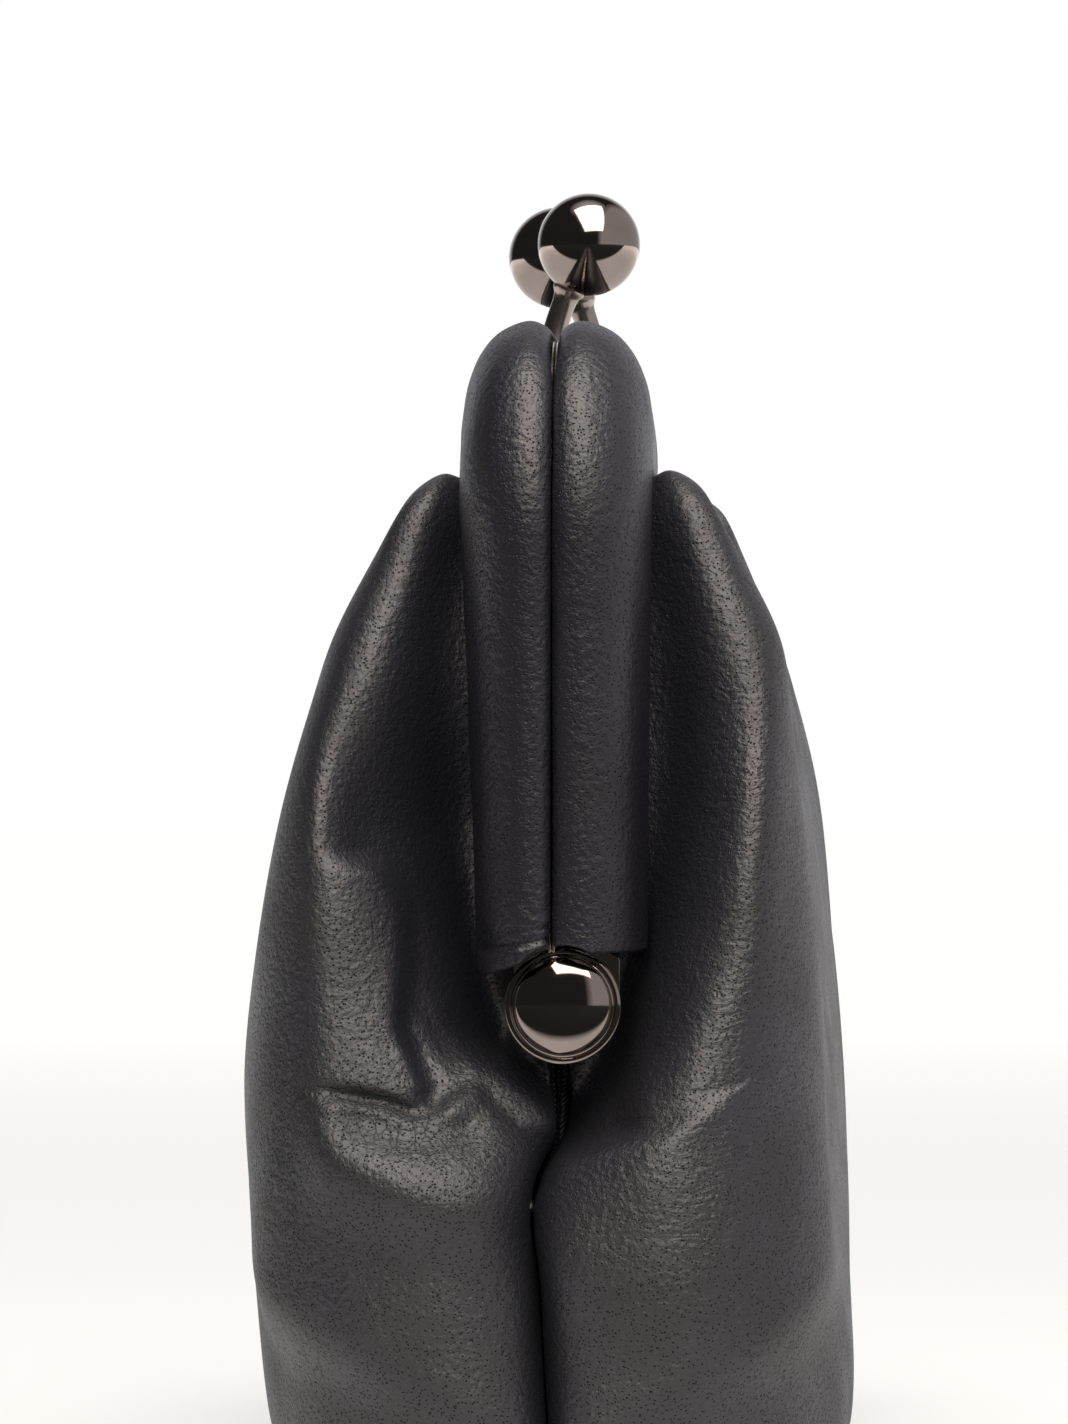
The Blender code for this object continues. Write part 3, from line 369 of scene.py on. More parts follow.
def cover_lines(along, side, count=72):
    """Outer line of the cover at each station: in from the channel's lip, over the crown and round the arm.

    The width grows from foot to corner and shrinks again toward the far end, and the shoulder squares
    up to the foot. On the arms the two covers press together along the seam; on the top bar they part.
    """
    place = rim_path(np.minimum(along, 2 * ARCH_MIDDLE - along))[0]
    up = np.clip((place[:, 1] - HINGE) / (TOP - HINGE - COVER_DEPTH), 0, 1)
    x = np.where(along < ARCH_MIDDLE, place[:, 0], -place[:, 0])
    width = COVER_FOOT_WIDTH[side] + (COVER_TOP_WIDTH[side] - COVER_FOOT_WIDTH[side]) * up
    width = width * (1 - (1 - COVER_FAR_SHARE) * np.clip((62 * MM - x) / (140 * MM), 0, 1))
    parted = fade(place[:, 1], TOP - 7 * MM, TOP - 1 * MM)
    edge = SEAM_CLOSED + (SEAM_EDGE - SEAM_CLOSED) * parted
    line = [(SEAM_EDGE, depth * MM) for depth in TUCKED_DEPTHS]
    line += [(edge + out * MM, depth * MM) for out, depth in SEAM_ROLL]
    line.append((COVER_CROWN, 0.0))
    for foot, top, depth in zip(COVER_FOOT_SHARES, COVER_TOP_SHARES, COVER_DEPTH_SHARES):
        line.append((width * (foot * (1 - up) + top * up), COVER_DEPTH * depth))
    line += [(width - COVER_TURN, COVER_DEPTH - COVER_TURN), (width - 3 * COVER_TURN, COVER_DEPTH),
             (CHANNEL_WIDTH + FIT, COVER_DEPTH)]
    knots = np.array([[np.full(len(along), value) for value in point] for point in line]).transpose(2, 0, 1)
    steps = np.linalg.norm(np.diff(knots.mean(axis=0), axis=0), axis=1)
    lengths = np.concatenate([[0.0], np.cumsum(steps)])
    across = curve(lengths, np.moveaxis(knots, 1, 0), np.linspace(0, lengths[-1], count))
    return np.moveaxis(across, 0, 1)


def fibrous(name, dark, light, lumps, detail, depth, **sockets):
    """A matt fibre without shine: noise with lumps of that size mixes two tones and raises the fibres."""
    made, tree, shader = new_finish(name, **sockets)
    fibre = stretched(tree, lumps, detail)
    feed(shader, Base_Color=add(tree, "Mix", fibre, dark, light, data_type="RGBA"),
         Normal=add(tree, "Bump", Height=fibre, Distance=depth, Strength=1.0))
    return made


# Carded cotton: a soft white lump with loose fibres, quite without shine
cotton = fibrous("white_cotton_wadding", "#bfbab0", "#ebe8e2", (0.9 * MM, 0.25 * MM, 0.9 * MM), 6.0, 0.4 * MM,
                 Roughness=0.95, Specular_IOR_Level=0.1, Sheen_Weight=0.5)
for name, side in SIDES:
    along = arch_stations(HINGE + PADDING_FOOT, 161)
    outer = inset(cover_lines(along, side, 60), COVER_WALL + FIT)[:, 14:-5]
    corners = [(COVER_CROWN - COVER_WALL, WEB_DEPTH - FIT), (CHANNEL_WIDTH + FIT, WEB_DEPTH - FIT),
               (CHANNEL_WIDTH + FIT, MOUTH_DEPTH)]
    shares = np.linspace(0, 2, outer.shape[1])
    inner = np.stack([np.interp(shares, range(3), line) for line in np.transpose(corners)], axis=1)
    ring = np.concatenate([outer, np.broadcast_to(inner[::-1], outer.shape)], axis=1)
    shell = swept(on_arch(along[:, None], side * ring[..., 0], ring[..., 1]))
    padding = new_piece(name + "_cotton_padding", [shell], cotton)
    place_on(padding, name + "_half", "padding", name + "_frame_padding")


# Frame covers: strips of lambskin glued round the padded arms, with one edge tucked against the steel lip
# at the seam and the other turned under the arm. They end in a cut above the hinge, where the front one
# hangs as a little flap, creased across by the closing of the frame.

FLAP_DROP_SHARE = 0.34
FLAP_CREASES = ((HINGE + 6.3 * MM, 0.50 * MM, 0.40 * MM), (HINGE + 7.6 * MM, 0.28 * MM, 0.35 * MM))
NOTCH_RADIUS = 6.1 * MM
NOTCH_DEPTH = 5.0 * MM
STEM_X = 5.75 * MM
STEM_OFFSET = 2.5 * MM
DRIFT_SPACING = 9 * MM
FINE_SPACING = 0.4 * MM
PORE_SPACING = 0.40 * MM
GRAIN_SPACING = 0.75 * MM
CRACK_SPACING = 1.15 * MM
WRINKLE_SPACING = (2.6 * MM, 2.6 * MM, 0.5 * MM)
WARP_SPACING = 2.5 * MM
WARP_REACH = 2.6 * MM


def lambskin(name, body, pit, roughness):
    """Nappa: chrome-tanned lambskin dyed through and closed with a thin satin film.

    The body is a dark blue-black with a warm soft highlight. Open pores and fine grain break the
    highlight up; the ripple attribute brings fine level wrinkles and the crease attribute cracks.
    """
    made, tree, shader = new_finish(name, Specular_IOR_Level=0.7, Specular_Tint="#fffaf5")
    place = add(tree, "TexCoord").outputs["Object"]
    drift = add(tree, "TexNoise", place, 1 / DRIFT_SPACING, 3.0)
    pore = add(tree, "MapRange", add(tree, "TexVoronoi", place, 1 / PORE_SPACING), 0.12, 0.32)
    grain = add(tree, "TexVoronoi", place, 1 / GRAIN_SPACING, feature="SMOOTH_F1")
    fine = add(tree, "TexNoise", place, 1 / FINE_SPACING, 4.0)
    bend = add(tree, "TexNoise", place, 1 / WARP_SPACING, 2.0).outputs["Color"]
    bent = add(tree, "VectorMath", bend, WARP_REACH, operation="SCALE")
    warped = add(tree, "VectorMath", place, bent, operation="ADD")
    crack = add(tree, "TexVoronoi", warped, 1 / CRACK_SPACING, feature="DISTANCE_TO_EDGE")
    crease = add(tree, "Attribute", attribute_name="crease").outputs["Fac"]
    cracked = add(tree, "Mix", crease, 1.0, add(tree, "MapRange", crack, 0.0, 0.10))
    scaled = add(tree, "Mapping", warped, Scale=[1 / s for s in WRINKLE_SPACING])
    line = add(tree, "TexNoise", scaled, 1.0, 3.0)
    ripple = add(tree, "Attribute", attribute_name="ripple").outputs["Fac"]
    rippled = add(tree, "Math", line, ripple, operation="MULTIPLY")
    lit = add(tree, "Math", pore, add(tree, "Mix", 0.35, 1.0, cracked), operation="MULTIPLY")
    tone = add(tree, "Mix", lit, pit, body, data_type="RGBA")
    rough = add(tree, "MapRange", drift, 0.3, 0.7, roughness - 0.05, roughness + 0.07)
    feed(shader, Base_Color=add(tree, "Mix", drift, tone, body, data_type="RGBA", blend_type="SOFT_LIGHT"),
         Roughness=add(tree, "Mix", lit, 0.9, rough),
         Specular_IOR_Level=add(tree, "MapRange", lit, 0.0, 1.0, 0.15, 0.85))
    normal = None
    for height, depth in ((grain, 0.10), (fine, 0.11), (pore, 0.045), (cracked, 0.05), (rippled, 0.16)):
        bump = add(tree, "Bump", Height=height, Distance=depth * MM, Strength=1.0)
        if normal:
            feed(bump, Normal=normal)
        normal = bump
    feed(shader, Normal=normal)
    return made


def swell(points, length, seed, waves=9):
    """Soft lumps between -1 and 1: a mean of sine waves in random directions, about as long as given."""
    random = np.random.default_rng(seed)
    directions = random.normal(size=(waves, 3))
    directions /= np.linalg.norm(directions, axis=1, keepdims=True)
    lengths = length * random.uniform(0.7, 1.5, waves)
    phases = random.uniform(0, 2 * math.pi, waves)
    turns = points @ (directions / lengths[:, None]).T * 2 * math.pi + phases
    return np.sin(turns).sum(axis=-1) / math.sqrt(waves)


black_lambskin = lambskin("black_lambskin_nappa", "#1a1b25", "#040405", 0.48)
cover_lambskin = lambskin("black_lambskin_nappa_strip", "#1f1f2d", "#040405", 0.42)
# Millimetres from its cut ends at which a cover has closer stations
CUT_ENDS = np.array([0, 0.04, 0.12, 0.24, 0.4, 0.7, 1, 1.4, 1.8, 2.2, 2.6, 3, 3.5, 4, 5, 6, 7, 8])
for name, side in SIDES:
    along = arch_stations(HINGE + ARM_FOOT, 381, CUT_ENDS * MM)
    line = cover_lines(along, side)
    near = np.minimum(along, 2 * ARCH_MIDDLE - along)[:, None]
    flap = np.where(side == FRONT, FLAP_DROP_SHARE * np.clip(line[..., 0], 0, 6.5 * MM), 0.0)
    foot = HINGE + ARM_FOOT - flap
    y = side * line[..., 0]
    notch = HINGE + np.sqrt(np.clip(NOTCH_RADIUS ** 2 - (y - HINGE_Y) ** 2, 0, None))
    foot = np.where(line[..., 1] < NOTCH_DEPTH, np.maximum(foot, notch), foot)
    shifted = near + (foot - HINGE - ARM_FOOT) * (1 - fade(near - HINGE - ARM_FOOT, 0, 8 * MM))
    lengths = np.where(along[:, None] < ARCH_MIDDLE, shifted, 2 * ARCH_MIDDLE - shifted)
    places = on_arch(lengths, side * line[..., 0], line[..., 1])
    dent = 0.05 * MM * swell(places, 16 * MM, 3) + 0.02 * MM * swell(places, 5 * MM, 4)
    on_crown = fade(line[..., 1], 9 * MM, 4 * MM)
    if side == FRONT:
        for height, depth, width in FLAP_CREASES:
            wander = 0.12 * MM * swell(places, 3 * MM, 6)
            level = places[..., 2] - height + 0.10 * (line[..., 0] - 4 * MM) - wander
            dent = dent + depth * np.exp(-(level / width) ** 2) * on_crown
    stem_x = -side * STEM_X
    spread = np.hypot(places[..., 0] - stem_x, line[..., 0] - STEM_OFFSET)
    dent = dent + 0.45 * MM * np.exp(-(spread / (1.9 * MM)) ** 2) * on_crown
    from_end = np.clip((near - HINGE - ARM_FOOT) / (0.4 * MM), 0, 1)
    eased = COVER_WALL / 2 * (1 - np.sqrt(1 - (1 - from_end) ** 2))
    ring = np.concatenate([inset(line, dent + eased), inset(line, COVER_WALL - eased)[:, ::-1]], axis=1)
    lengths = np.concatenate([lengths, lengths[:, ::-1]], axis=1)
    cover = new_piece(name + "_lambskin_cover", [swept(on_arch(lengths, side * ring[..., 0], ring[..., 1]))],
                      cover_lambskin, sharp=75)
    mark(cover, "ripple", lambda p: 0.12 + 0.6 * fade(p[:, 2], HINGE + 12 * MM, HINGE + 6 * MM))
    mark(cover, "crease", lambda p: 0.25 * fade(p[:, 2], HINGE + 9 * MM, HINGE + 6 * MM))
    place_on(cover, name + "_half", "leather", name + "_frame_cover")


# Clasp: a turned brass ball soldered to a bent pin on each half, plated in dark nickel, polished on the
# ball and satin on the pin. The pins are riveted into the channel's web and cross over the seam, so that
# the balls snap past each other.

BALL_RADIUS = 5.5 * MM
BALL_GAP = 0.5 * MM
BALL_RISE = {FRONT: 10.2 * MM, BACK: 9.2 * MM}
BALL_CROSSING = {FRONT: 1.9 * MM, BACK: 1.5 * MM}
STEM_BEND_RISE = 1.0 * MM
STEM_FOOT_RADIUS = 1.35 * MM
STEM_TOP_RADIUS = 1.18 * MM
SOLDER_FILLET = 0.55 * MM


def turned(profile, centre, direction, steps=96):
    """A profile of (place along the axis, radius), whose ends lie on the axis, turned about it."""
    profile = np.asarray(profile, float)
    axis = np.asarray(direction, float) / np.linalg.norm(direction)
    across = np.cross(axis, [0.0, 0.0, 1.0] if abs(axis[0]) > 0.5 else [1.0, 0.0, 0.0])
    across /= np.linalg.norm(across)
    turn = np.arange(steps) * 2 * math.pi / steps
    ring = np.outer(np.cos(turn), across) + np.outer(np.sin(turn), np.cross(axis, across))
    points = np.asarray(centre) + profile[:, :1, None] * axis + profile[:, 1:, None] * ring
    return swept(points)


for name, side in SIDES:
    x = -side * (BALL_RADIUS + BALL_GAP / 2)
    foot = np.array([x, side * STEM_OFFSET, TOP - WEB_DEPTH + FIT])
    bend = np.array([x, side * STEM_OFFSET, TOP + STEM_BEND_RISE])
    centre = np.array([x, -side * BALL_CROSSING[side], TOP + BALL_RISE[side]])
    share = np.linspace(0, 0.94, 48)[:, None]
    path = (1 - share) ** 2 * foot + 2 * share * (1 - share) * bend + share ** 2 * centre
    clear = np.clip(np.linalg.norm(path - centre, axis=1) - BALL_RADIUS, 0, None)
    radii = STEM_FOOT_RADIUS + (STEM_TOP_RADIUS - STEM_FOOT_RADIUS) * share[:, 0]
    radii = radii + SOLDER_FILLET * np.exp(-clear / (0.45 * MM))
    tangent = np.gradient(path, axis=0)
    tangent /= np.linalg.norm(tangent, axis=1, keepdims=True)
    across = np.array([1.0, 0.0, 0.0])
    turn = np.arange(48) * 2 * math.pi / 48
    ring = np.cos(turn)[:, None] * across + np.sin(turn)[:, None] * np.cross(tangent, across)[:, None]
    stem = new_piece(name + "_clasp_pin", [swept(path[:, None] + radii[:, None, None] * ring)], satin_nickel_painted_bright)
    place_on(stem, name + "_half", "dark_nickel", name + "_clasp_stem")
    sphere = turned(arc((0.0, 0.0), (BALL_RADIUS, BALL_RADIUS), 180, 0, 97), centre, centre - bend, 128)
    ball = new_piece(name + "_ball_of_clasp", [sphere], dark_nickel)
    place_on(ball, name + "_half", "dark_nickel", name + "_clasp_ball")


# Hinges: a shallow domed rivet through both lugs at each end, with a stepped washer under its head and
# its tail spread behind the inner lug. Both are polished dark nickel like the clasp.

WASHER_RADIUS = 5.85 * MM
WASHER_WALL = 0.7 * MM
WASHER_STEP = 5.3 * MM
RIVET_RADIUS = 1.5 * MM
RIVET_HEAD_RADIUS = 4.9 * MM
RIVET_HEAD_HEIGHT = 1.6 * MM
RIVET_FLANGE = 5.15 * MM
RIVET_TAIL_RADIUS = 2.6 * MM
RIVET_TAIL_HEIGHT = 1.0 * MM
washer_face = HALF_LENGTH - WEB_DEPTH + FIT
head_face = washer_face + WASHER_WALL
tail_face = HALF_LENGTH - WEB_DEPTH - 2 * LUG_WALL - 2 * FIT
for name, end in (("left", -1), ("right", 1)):
    centre, axis = (0.0, HINGE_Y, HINGE), (end, 0, 0)
    turn = np.linspace(0, math.pi / 2, 13)
    rim = WASHER_RADIUS - 0.12 * MM * np.cos(turn) ** 2
    lower = np.stack([washer_face + 0.35 * MM * np.sin(turn), rim], axis=1)
    upper = arc((head_face - 0.28 * MM, WASHER_STEP), (0.28 * MM, WASHER_RADIUS - WASHER_STEP), 90, 0, 13)
    well = head_face - 0.06 * MM
    sunk = [(well, WASHER_STEP - 0.08 * MM), (well, RIVET_RADIUS), (well, 0.0)]
    disc = turned(np.concatenate([[(washer_face, 0.0)], lower, upper, sunk]), centre, axis, 160)
    washer = new_piece(name + "_stepped_washer", [disc], dark_nickel, sharp=50)
    place_on(washer, "back_half", "dark_nickel", name + "_hinge_washer")
    flange = [(-0.04, 0.0), (-0.04, -0.06), (0.04, 0.0), (0.16, 0.0), (0.24, -0.08)]
    flange = np.array(flange) * MM + (head_face, RIVET_FLANGE)
    flange[0, 1] = 0.0
    turn = np.linspace(0.04, math.pi / 2, 49)
    rise = (RIVET_HEAD_HEIGHT - 0.12 * MM) * np.sin(turn) ** 1.15
    dome = np.stack([head_face + FIT + rise, RIVET_HEAD_RADIUS * np.cos(turn)], axis=1)
    neck = [(head_face + 0.26 * MM, RIVET_HEAD_RADIUS)]
    head = turned(np.concatenate([flange, neck, dome]), centre, axis, 160)
    tail = tail_face - RIVET_TAIL_HEIGHT
    share = np.sin(np.linspace(0, math.pi / 2, 9))[:, None]
    spread = (tail, 0.6 * RIVET_TAIL_RADIUS) + share * (0.8 * RIVET_TAIL_HEIGHT, 0.4 * RIVET_TAIL_RADIUS)
    shank = [(tail_face, RIVET_TAIL_RADIUS), (tail_face, RIVET_RADIUS), (head_face - 0.05 * MM, RIVET_RADIUS),
             (head_face - 0.04 * MM, 0.0)]
    shaft = turned(np.concatenate([[(tail, 0.0)], spread, shank]), centre, axis, 64)
    rivet = new_piece(name + "_domed_rivet", [head, shaft], dark_nickel, sharp=50)
    place_on(rivet, "back_half", "dark_nickel", name + "_hinge_rivet")


# Lining: black cotton twill in two leaves, sewn at the sides and wedged in the channels with the leather.
# Under its top edge it hangs free and spreads to the floor of the pouch.

ARM_STATION_SHARES = (0.09, 0.46, 0.85)
CORNER_STATION_SHARES = (0.5, 1.0)
TOP_STATION_SHARES = (0.25, 1.0)
HALF_WIDTH = 30.3 * MM
BELLY = HINGE - 10 * MM
BELLY_RISE = 68 * MM
ROLL_SHARE = 0.3
BASE_WIDTH = 24.5 * MM
BASE_LENGTH = 86 * MM
LEATHER = 1.0 * MM
LINING = 0.5 * MM
EDGE_DEPTH = 8.5 * MM
LINING_INSET = 4.2 * MM
LINING_LINE = SEAM_GAP + CHANNEL_WALL + FIT + LINING
LINING_FLOOR = LEATHER + 1.5 * MM + 3 * FIT
POCKET_HALF_LENGTH = 46 * MM
LINING_DEPTH_SHARES = (0.93, 1.22, 1.33, 1.60, 1.92)
LINING_TOP_DEPTH_SHARES = (0.93, 1.20, 1.27, 1.34, 1.40)
LINING_WIDTH_SHARES = (0.17, 0.38, 0.68)
LINING_TOP_WIDTH_SHARES = (0.22, 0.48, 0.76)
LINING_SEAM_SHARES = (0.30, 0.68, 0.90)
LINING_FLOOR_WIDTH_SHARES = (0.0, 0.20, 0.50, 0.66, 0.76, 0.0)
LINING_FLOOR_RISE_SHARES = (0.0, 0.0, 0.0, 0.01, 0.10, 0.28)
LINING_FOOT_SHARE = 0.08
LINING_FACE_SHARE = 2.2
LINING_STATION_SHARES = (0.0, 0.5, 0.85)
LINING_SPINE_SHARES = (0.35, 0.65, 1.0)
LINING_DRAWN_IN = 0.94
LINING_AROUND = (10, 8, 6, 12, 14, 8, 8, 16, 16, 10, 10, 6, 14)
LINING_ACROSS = (4, 4, 6, 6, 6, 8, 8, 6)
TWILL_SPACING = 0.42 * MM


def pouch_half_width(height):
    """An ellipse above the belly, straight below it, and a quarter ellipse in to the base."""
    above = np.clip((height - BELLY) / BELLY_RISE, 0, 1)
    roll = HINGE * ROLL_SHARE
    below = np.clip((roll - height) / roll, 0, 1)
    return HALF_WIDTH * np.sqrt(1 - above ** 2) - (HALF_WIDTH - BASE_WIDTH) * (1 - np.sqrt(1 - below ** 2))


def rim_points(along, depths, widths, lifts):
    """Points at depths inside the frame's outline, widths off the middle plane and lifts above the path."""
    place, inward = rim_path(along)
    return np.stack([place[:, None, 0] + inward[:, None, 0] * depths, widths,
                     place[:, None, 1] + inward[:, None, 1] * depths + lifts], axis=-1)


def frame_stations(seam_shares):
    """Lengths up the side and along the frame at which the nets of leather and lining have stations."""
    arm, corner = TOP - FRAME_CORNER, FRAME_CORNER * math.pi / 2
    spans = ((0.0, HINGE, seam_shares), (HINGE, arm - HINGE, ARM_STATION_SHARES),
             (arm, corner, CORNER_STATION_SHARES),
             (arm + corner, HALF_LENGTH - FRAME_CORNER, TOP_STATION_SHARES))
    return np.array([start + length * share for start, length, shares in spans for share in shares])


def between(knots, counts):
    """The knots with that many even steps in each space between two of them."""
    parts = [np.linspace(low, high, n, endpoint=False) for low, high, n in zip(knots[:-1], knots[1:], counts)]
    return np.concatenate(parts + [np.asarray(knots)[-1:]])


def half_net(rows, places, stations, inset_face, spine_shares, around, across):
    """Half of a pouch leaf as a grid: around its rim from the base to the top bar, and from rim to spine.

    Cubic curves run around the rim through the base rows and the stations; across them other cubics
    run on to the spine, a level line in the middle of the face.
    """
    along, depths, widths, lifts = stations
    rows = np.concatenate([rows, rim_points(along, depths, widths, lifts)])
    knots = np.concatenate([places, along])
    around = between(knots, around)
    low, high = around[around < along[0]], around[around >= along[0]]
    fine = [np.clip(curve(along, values, high), values.min(axis=0), values.max(axis=0))
            for values in (depths, widths, lifts)]
    under = np.maximum(curve(knots[:-4], rows[:-4], low), rows.min(axis=0))
    rails = np.concatenate([under, rim_points(high, *fine)])
    last = rails[:, -1]
    end = np.zeros_like(last)
    end[:, 0], end[:, 2] = np.clip(last[:, 0], 0, POCKET_HALF_LENGTH), BELLY
    inner = []
    for share in spine_shares:
        point = last + (end - last) * share
        lag = (last[:, 1] - pouch_half_width(last[:, 2])) * (1 - share) + inset_face * share
        point[:, 1] = pouch_half_width(point[:, 2]) + lag
        inner.append(point)
    net = np.concatenate([rails, np.stack(inner, axis=1)], axis=1)
    spans = np.linalg.norm(np.diff(net, axis=1), axis=2)
    steps = np.concatenate([np.zeros((len(net), 1)), np.cumsum(spans + spans.mean() / 4, axis=1)], axis=1)
    net = np.stack([curve(knots, line, between(knots, across)) for knots, line in zip(steps, net)])
    plain = net[:, -sum(across[-len(spine_shares):]):]
    plain[..., 1] = np.minimum(plain[..., 1], pouch_half_width(plain[..., 2]) + inset_face)
    return net


def leaf(near, far, side):
    """A near and a far half net as one sheet of points and quads, zipped along the spine.

    Points that fall together at the spine's ends become one; each point also gets its row from the rim.
    """
    rows = near.shape[1]
    ring = np.concatenate([near, (far * (-1.0, 1.0, 1.0))[-2:0:-1]]) * (1.0, side, 1.0)
    total = len(ring)
    i, k = np.meshgrid(np.arange(total), np.arange(rows - 1), indexing="ij")
    j = (i + 1) % total
    faces = np.stack([i * rows + k, j * rows + k, j * rows + k + 1, i * rows + k + 1], axis=-1).reshape(-1, 4)
    zipped = []
    for start, end, hand in ((0, len(near) - 1, 1), (total, len(near) - 1, -1)):
        j = hand * np.arange(abs(end - start) // 2)
        zipped.append(np.stack([start + j, start + j + hand, end - j - hand, end - j], axis=1) % total)
    faces = np.concatenate([faces] + [quads * rows + rows - 1 for quads in zipped])
    points = ring.reshape(-1, 3)
    kept, same = np.unique(np.round(points / (0.01 * MM)), axis=0, return_index=True, return_inverse=True)[1:]
    faces = same.reshape(-1)[faces]
    corners = np.sort(faces, axis=1)
    distinct = 1 + (np.diff(corners, axis=1) != 0).sum(axis=1)
    return points[kept], faces[distinct > 2], kept % rows


def soften(points, faces, weight, passes):
    """Move each point toward the mean of its neighbours by its weight, at every pass."""
    edges = np.concatenate([faces[:, [0, 1]], faces[:, [1, 2]], faces[:, [2, 3]], faces[:, [3, 0]]])
    edges = np.concatenate([edges, edges[:, ::-1]])
    edges = edges[edges[:, 0] != edges[:, 1]]
    count = np.bincount(edges[:, 0], minlength=len(points))
    for step in range(passes):
        mean = [np.bincount(edges[:, 0], line[edges[:, 1]], len(points)) / count for line in points.T]
        points = points + weight[:, None] * (np.stack(mean, axis=1) - points)
    return points


def twill(name, warp, weft):
    """Cotton twill: warp and weft floats in slanting ribs, dull black with a faint sheen along the ribs."""
    made, tree, shader = new_finish(name, Roughness=0.82, Specular_IOR_Level=0.25, Sheen_Weight=0.25,
                                    Sheen_Roughness=0.4)
    place = add(tree, "TexCoord").outputs["Object"]
    slanted = add(tree, "Mapping", place, Rotation=(0.0, math.radians(58), 0.0))
    wave = add(tree, "TexWave", slanted, 0.314 / TWILL_SPACING, 0.6, 2.0, 3.0, bands_direction="X")
    rib, thread = wave.outputs["Fac"], stretched(tree, (0.25 * MM, 0.25 * MM, 0.9 * MM))
    tone = add(tree, "Mix", rib, weft, warp, data_type="RGBA")
    feed(shader, Base_Color=add(tree, "Mix", thread, tone, warp, data_type="RGBA", blend_type="SOFT_LIGHT"),
         Normal=add(tree, "Bump", Height=rib, Distance=0.12 * MM, Strength=0.9))
    return made


def thicken(piece, wall):
    """Give a sheet its wall on the inner side."""
    solid = piece.modifiers.new("wall", "SOLIDIFY")
    solid.thickness, solid.offset = wall, -1.0


def blend_to_frame(piece, node):
    """The piece, with its placement put into its points, stands for the node."""
    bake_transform(piece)
    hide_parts(node)


def lining_face(height):
    """Half width at which the lining hangs at a height."""
    return pouch_half_width(height) - LINING_INSET


def lining_net():
    """The lining's rows on the floor's middle line, and its stations up the side seam and along the frame."""
    seam = SEAM_GAP + LEATHER + FIT
    end = HALF_LENGTH - COVER_DEPTH * LINING_DEPTH_SHARES[1]
    rises = LINING_FLOOR + HINGE * np.array(LINING_FLOOR_RISE_SHARES)
    across = seam + HALF_WIDTH * np.array(LINING_FLOOR_WIDTH_SHARES)
    across[-1] = lining_face(rises[-1])
    rows = [np.stack([np.full(len(rises), end * s), across, rises], axis=1) for s in LINING_STATION_SHARES]
    places = [end * (share - 1.0) for share in LINING_STATION_SHARES]
    toward_face = np.linspace(0, 1, len(rises))
    depths, widths = [HALF_LENGTH - end + COVER_DEPTH * toward_face ** 1.5], [across]
    lifts = [rises + HINGE * LINING_FOOT_SHARE * toward_face]
    for share in LINING_SEAM_SHARES:
        face = lining_face(HINGE * share)
        widths.append([seam, seam + LINING] + [face * w for w in LINING_WIDTH_SHARES] + [face])
        depths.append([COVER_DEPTH * d for d in (LINING_DEPTH_SHARES[1] - LINING_FOOT_SHARE,)
                       + LINING_DEPTH_SHARES[1:] + (LINING_FACE_SHARE,)])
    along = frame_stations((0.0,) + LINING_SEAM_SHARES)
    top = len(along) - len(CORNER_STATION_SHARES) - len(TOP_STATION_SHARES)
    for i in range(len(depths), len(along)):
        shares = LINING_TOP_DEPTH_SHARES if i >= top else LINING_DEPTH_SHARES
        spread = LINING_TOP_WIDTH_SHARES if i >= top else LINING_WIDTH_SHARES
        depth = np.array([EDGE_DEPTH] + [COVER_DEPTH * d for d in shares])
        place, inward = rim_path(along[i])
        face = lining_face(place[1] + inward[1] * depth)
        depths.append(depth)
        widths.append([LINING_LINE, LINING_LINE] + [face[-1] * w for w in spread] + [face[-1]])
    depths, widths = np.array(depths), np.array(widths)
    lifts = np.array(lifts + [np.zeros(depths.shape[1])] * (len(along) - 1))
    return np.array(rows), np.array(places), (along, depths, widths, lifts)


black_twill = twill("black_cotton_twill", "#26262a", "#101013")
for name, side in SIDES:
    half = half_net(*lining_net(), -LINING_INSET, LINING_SPINE_SHARES, LINING_AROUND, LINING_ACROSS)
    points, faces, row = leaf(half, half, side)
    points[row > 6, 0] *= LINING_DRAWN_IN
    points = soften(points, faces, np.where(row < 6, 0.0, 0.5), 8)
    slack = fade(points[:, 2], TOP - 26 * MM, TOP - 50 * MM) * fade(points[:, 2], 8 * MM, 20 * MM)
    points[:, 1] -= side * 0.5 * MM * slack * (1 + swell(points, 26 * MM, 11))
    lining = new_piece(name + "_twill_lining", [(points, faces)], black_twill, toward=(0, side, 0))
    thicken(lining, LINING)
    blend_to_frame(lining, name + "_lining")


# Card pocket: a folded strip of the same twill, sewn to the back lining on three sides with a hem at
# its mouth.

POCKET_FOOT = 19 * MM
POCKET_HEIGHT = 41 * MM
POCKET_WALL = 0.8 * MM
POCKET_HEM = 5 * MM
POCKET_SLACK_HEIGHT = 16 * MM
along = np.linspace(-1, 1, 121) * POCKET_HALF_LENGTH
up = np.linspace(POCKET_FOOT, POCKET_FOOT + POCKET_HEIGHT, 61)
x, z = np.meshgrid(along, up, indexing="ij")
y = lining_face(z) - LINING - FIT - 0.15 * MM
hem = up[-1] - POCKET_HEM
y = y - 0.35 * MM * fade(z, hem - 0.3 * MM, hem + 0.3 * MM)
slack = fade(z, up[-1] - POCKET_SLACK_HEIGHT, up[-1])
y = y - 0.5 * MM * slack * np.cos(x / POCKET_HALF_LENGTH * math.pi / 2)
from_side = np.minimum(POCKET_HALF_LENGTH - np.abs(x), z - POCKET_FOOT)
y = y + 0.18 * MM * np.exp(-((from_side - 1.6 * MM) / (0.5 * MM)) ** 2)
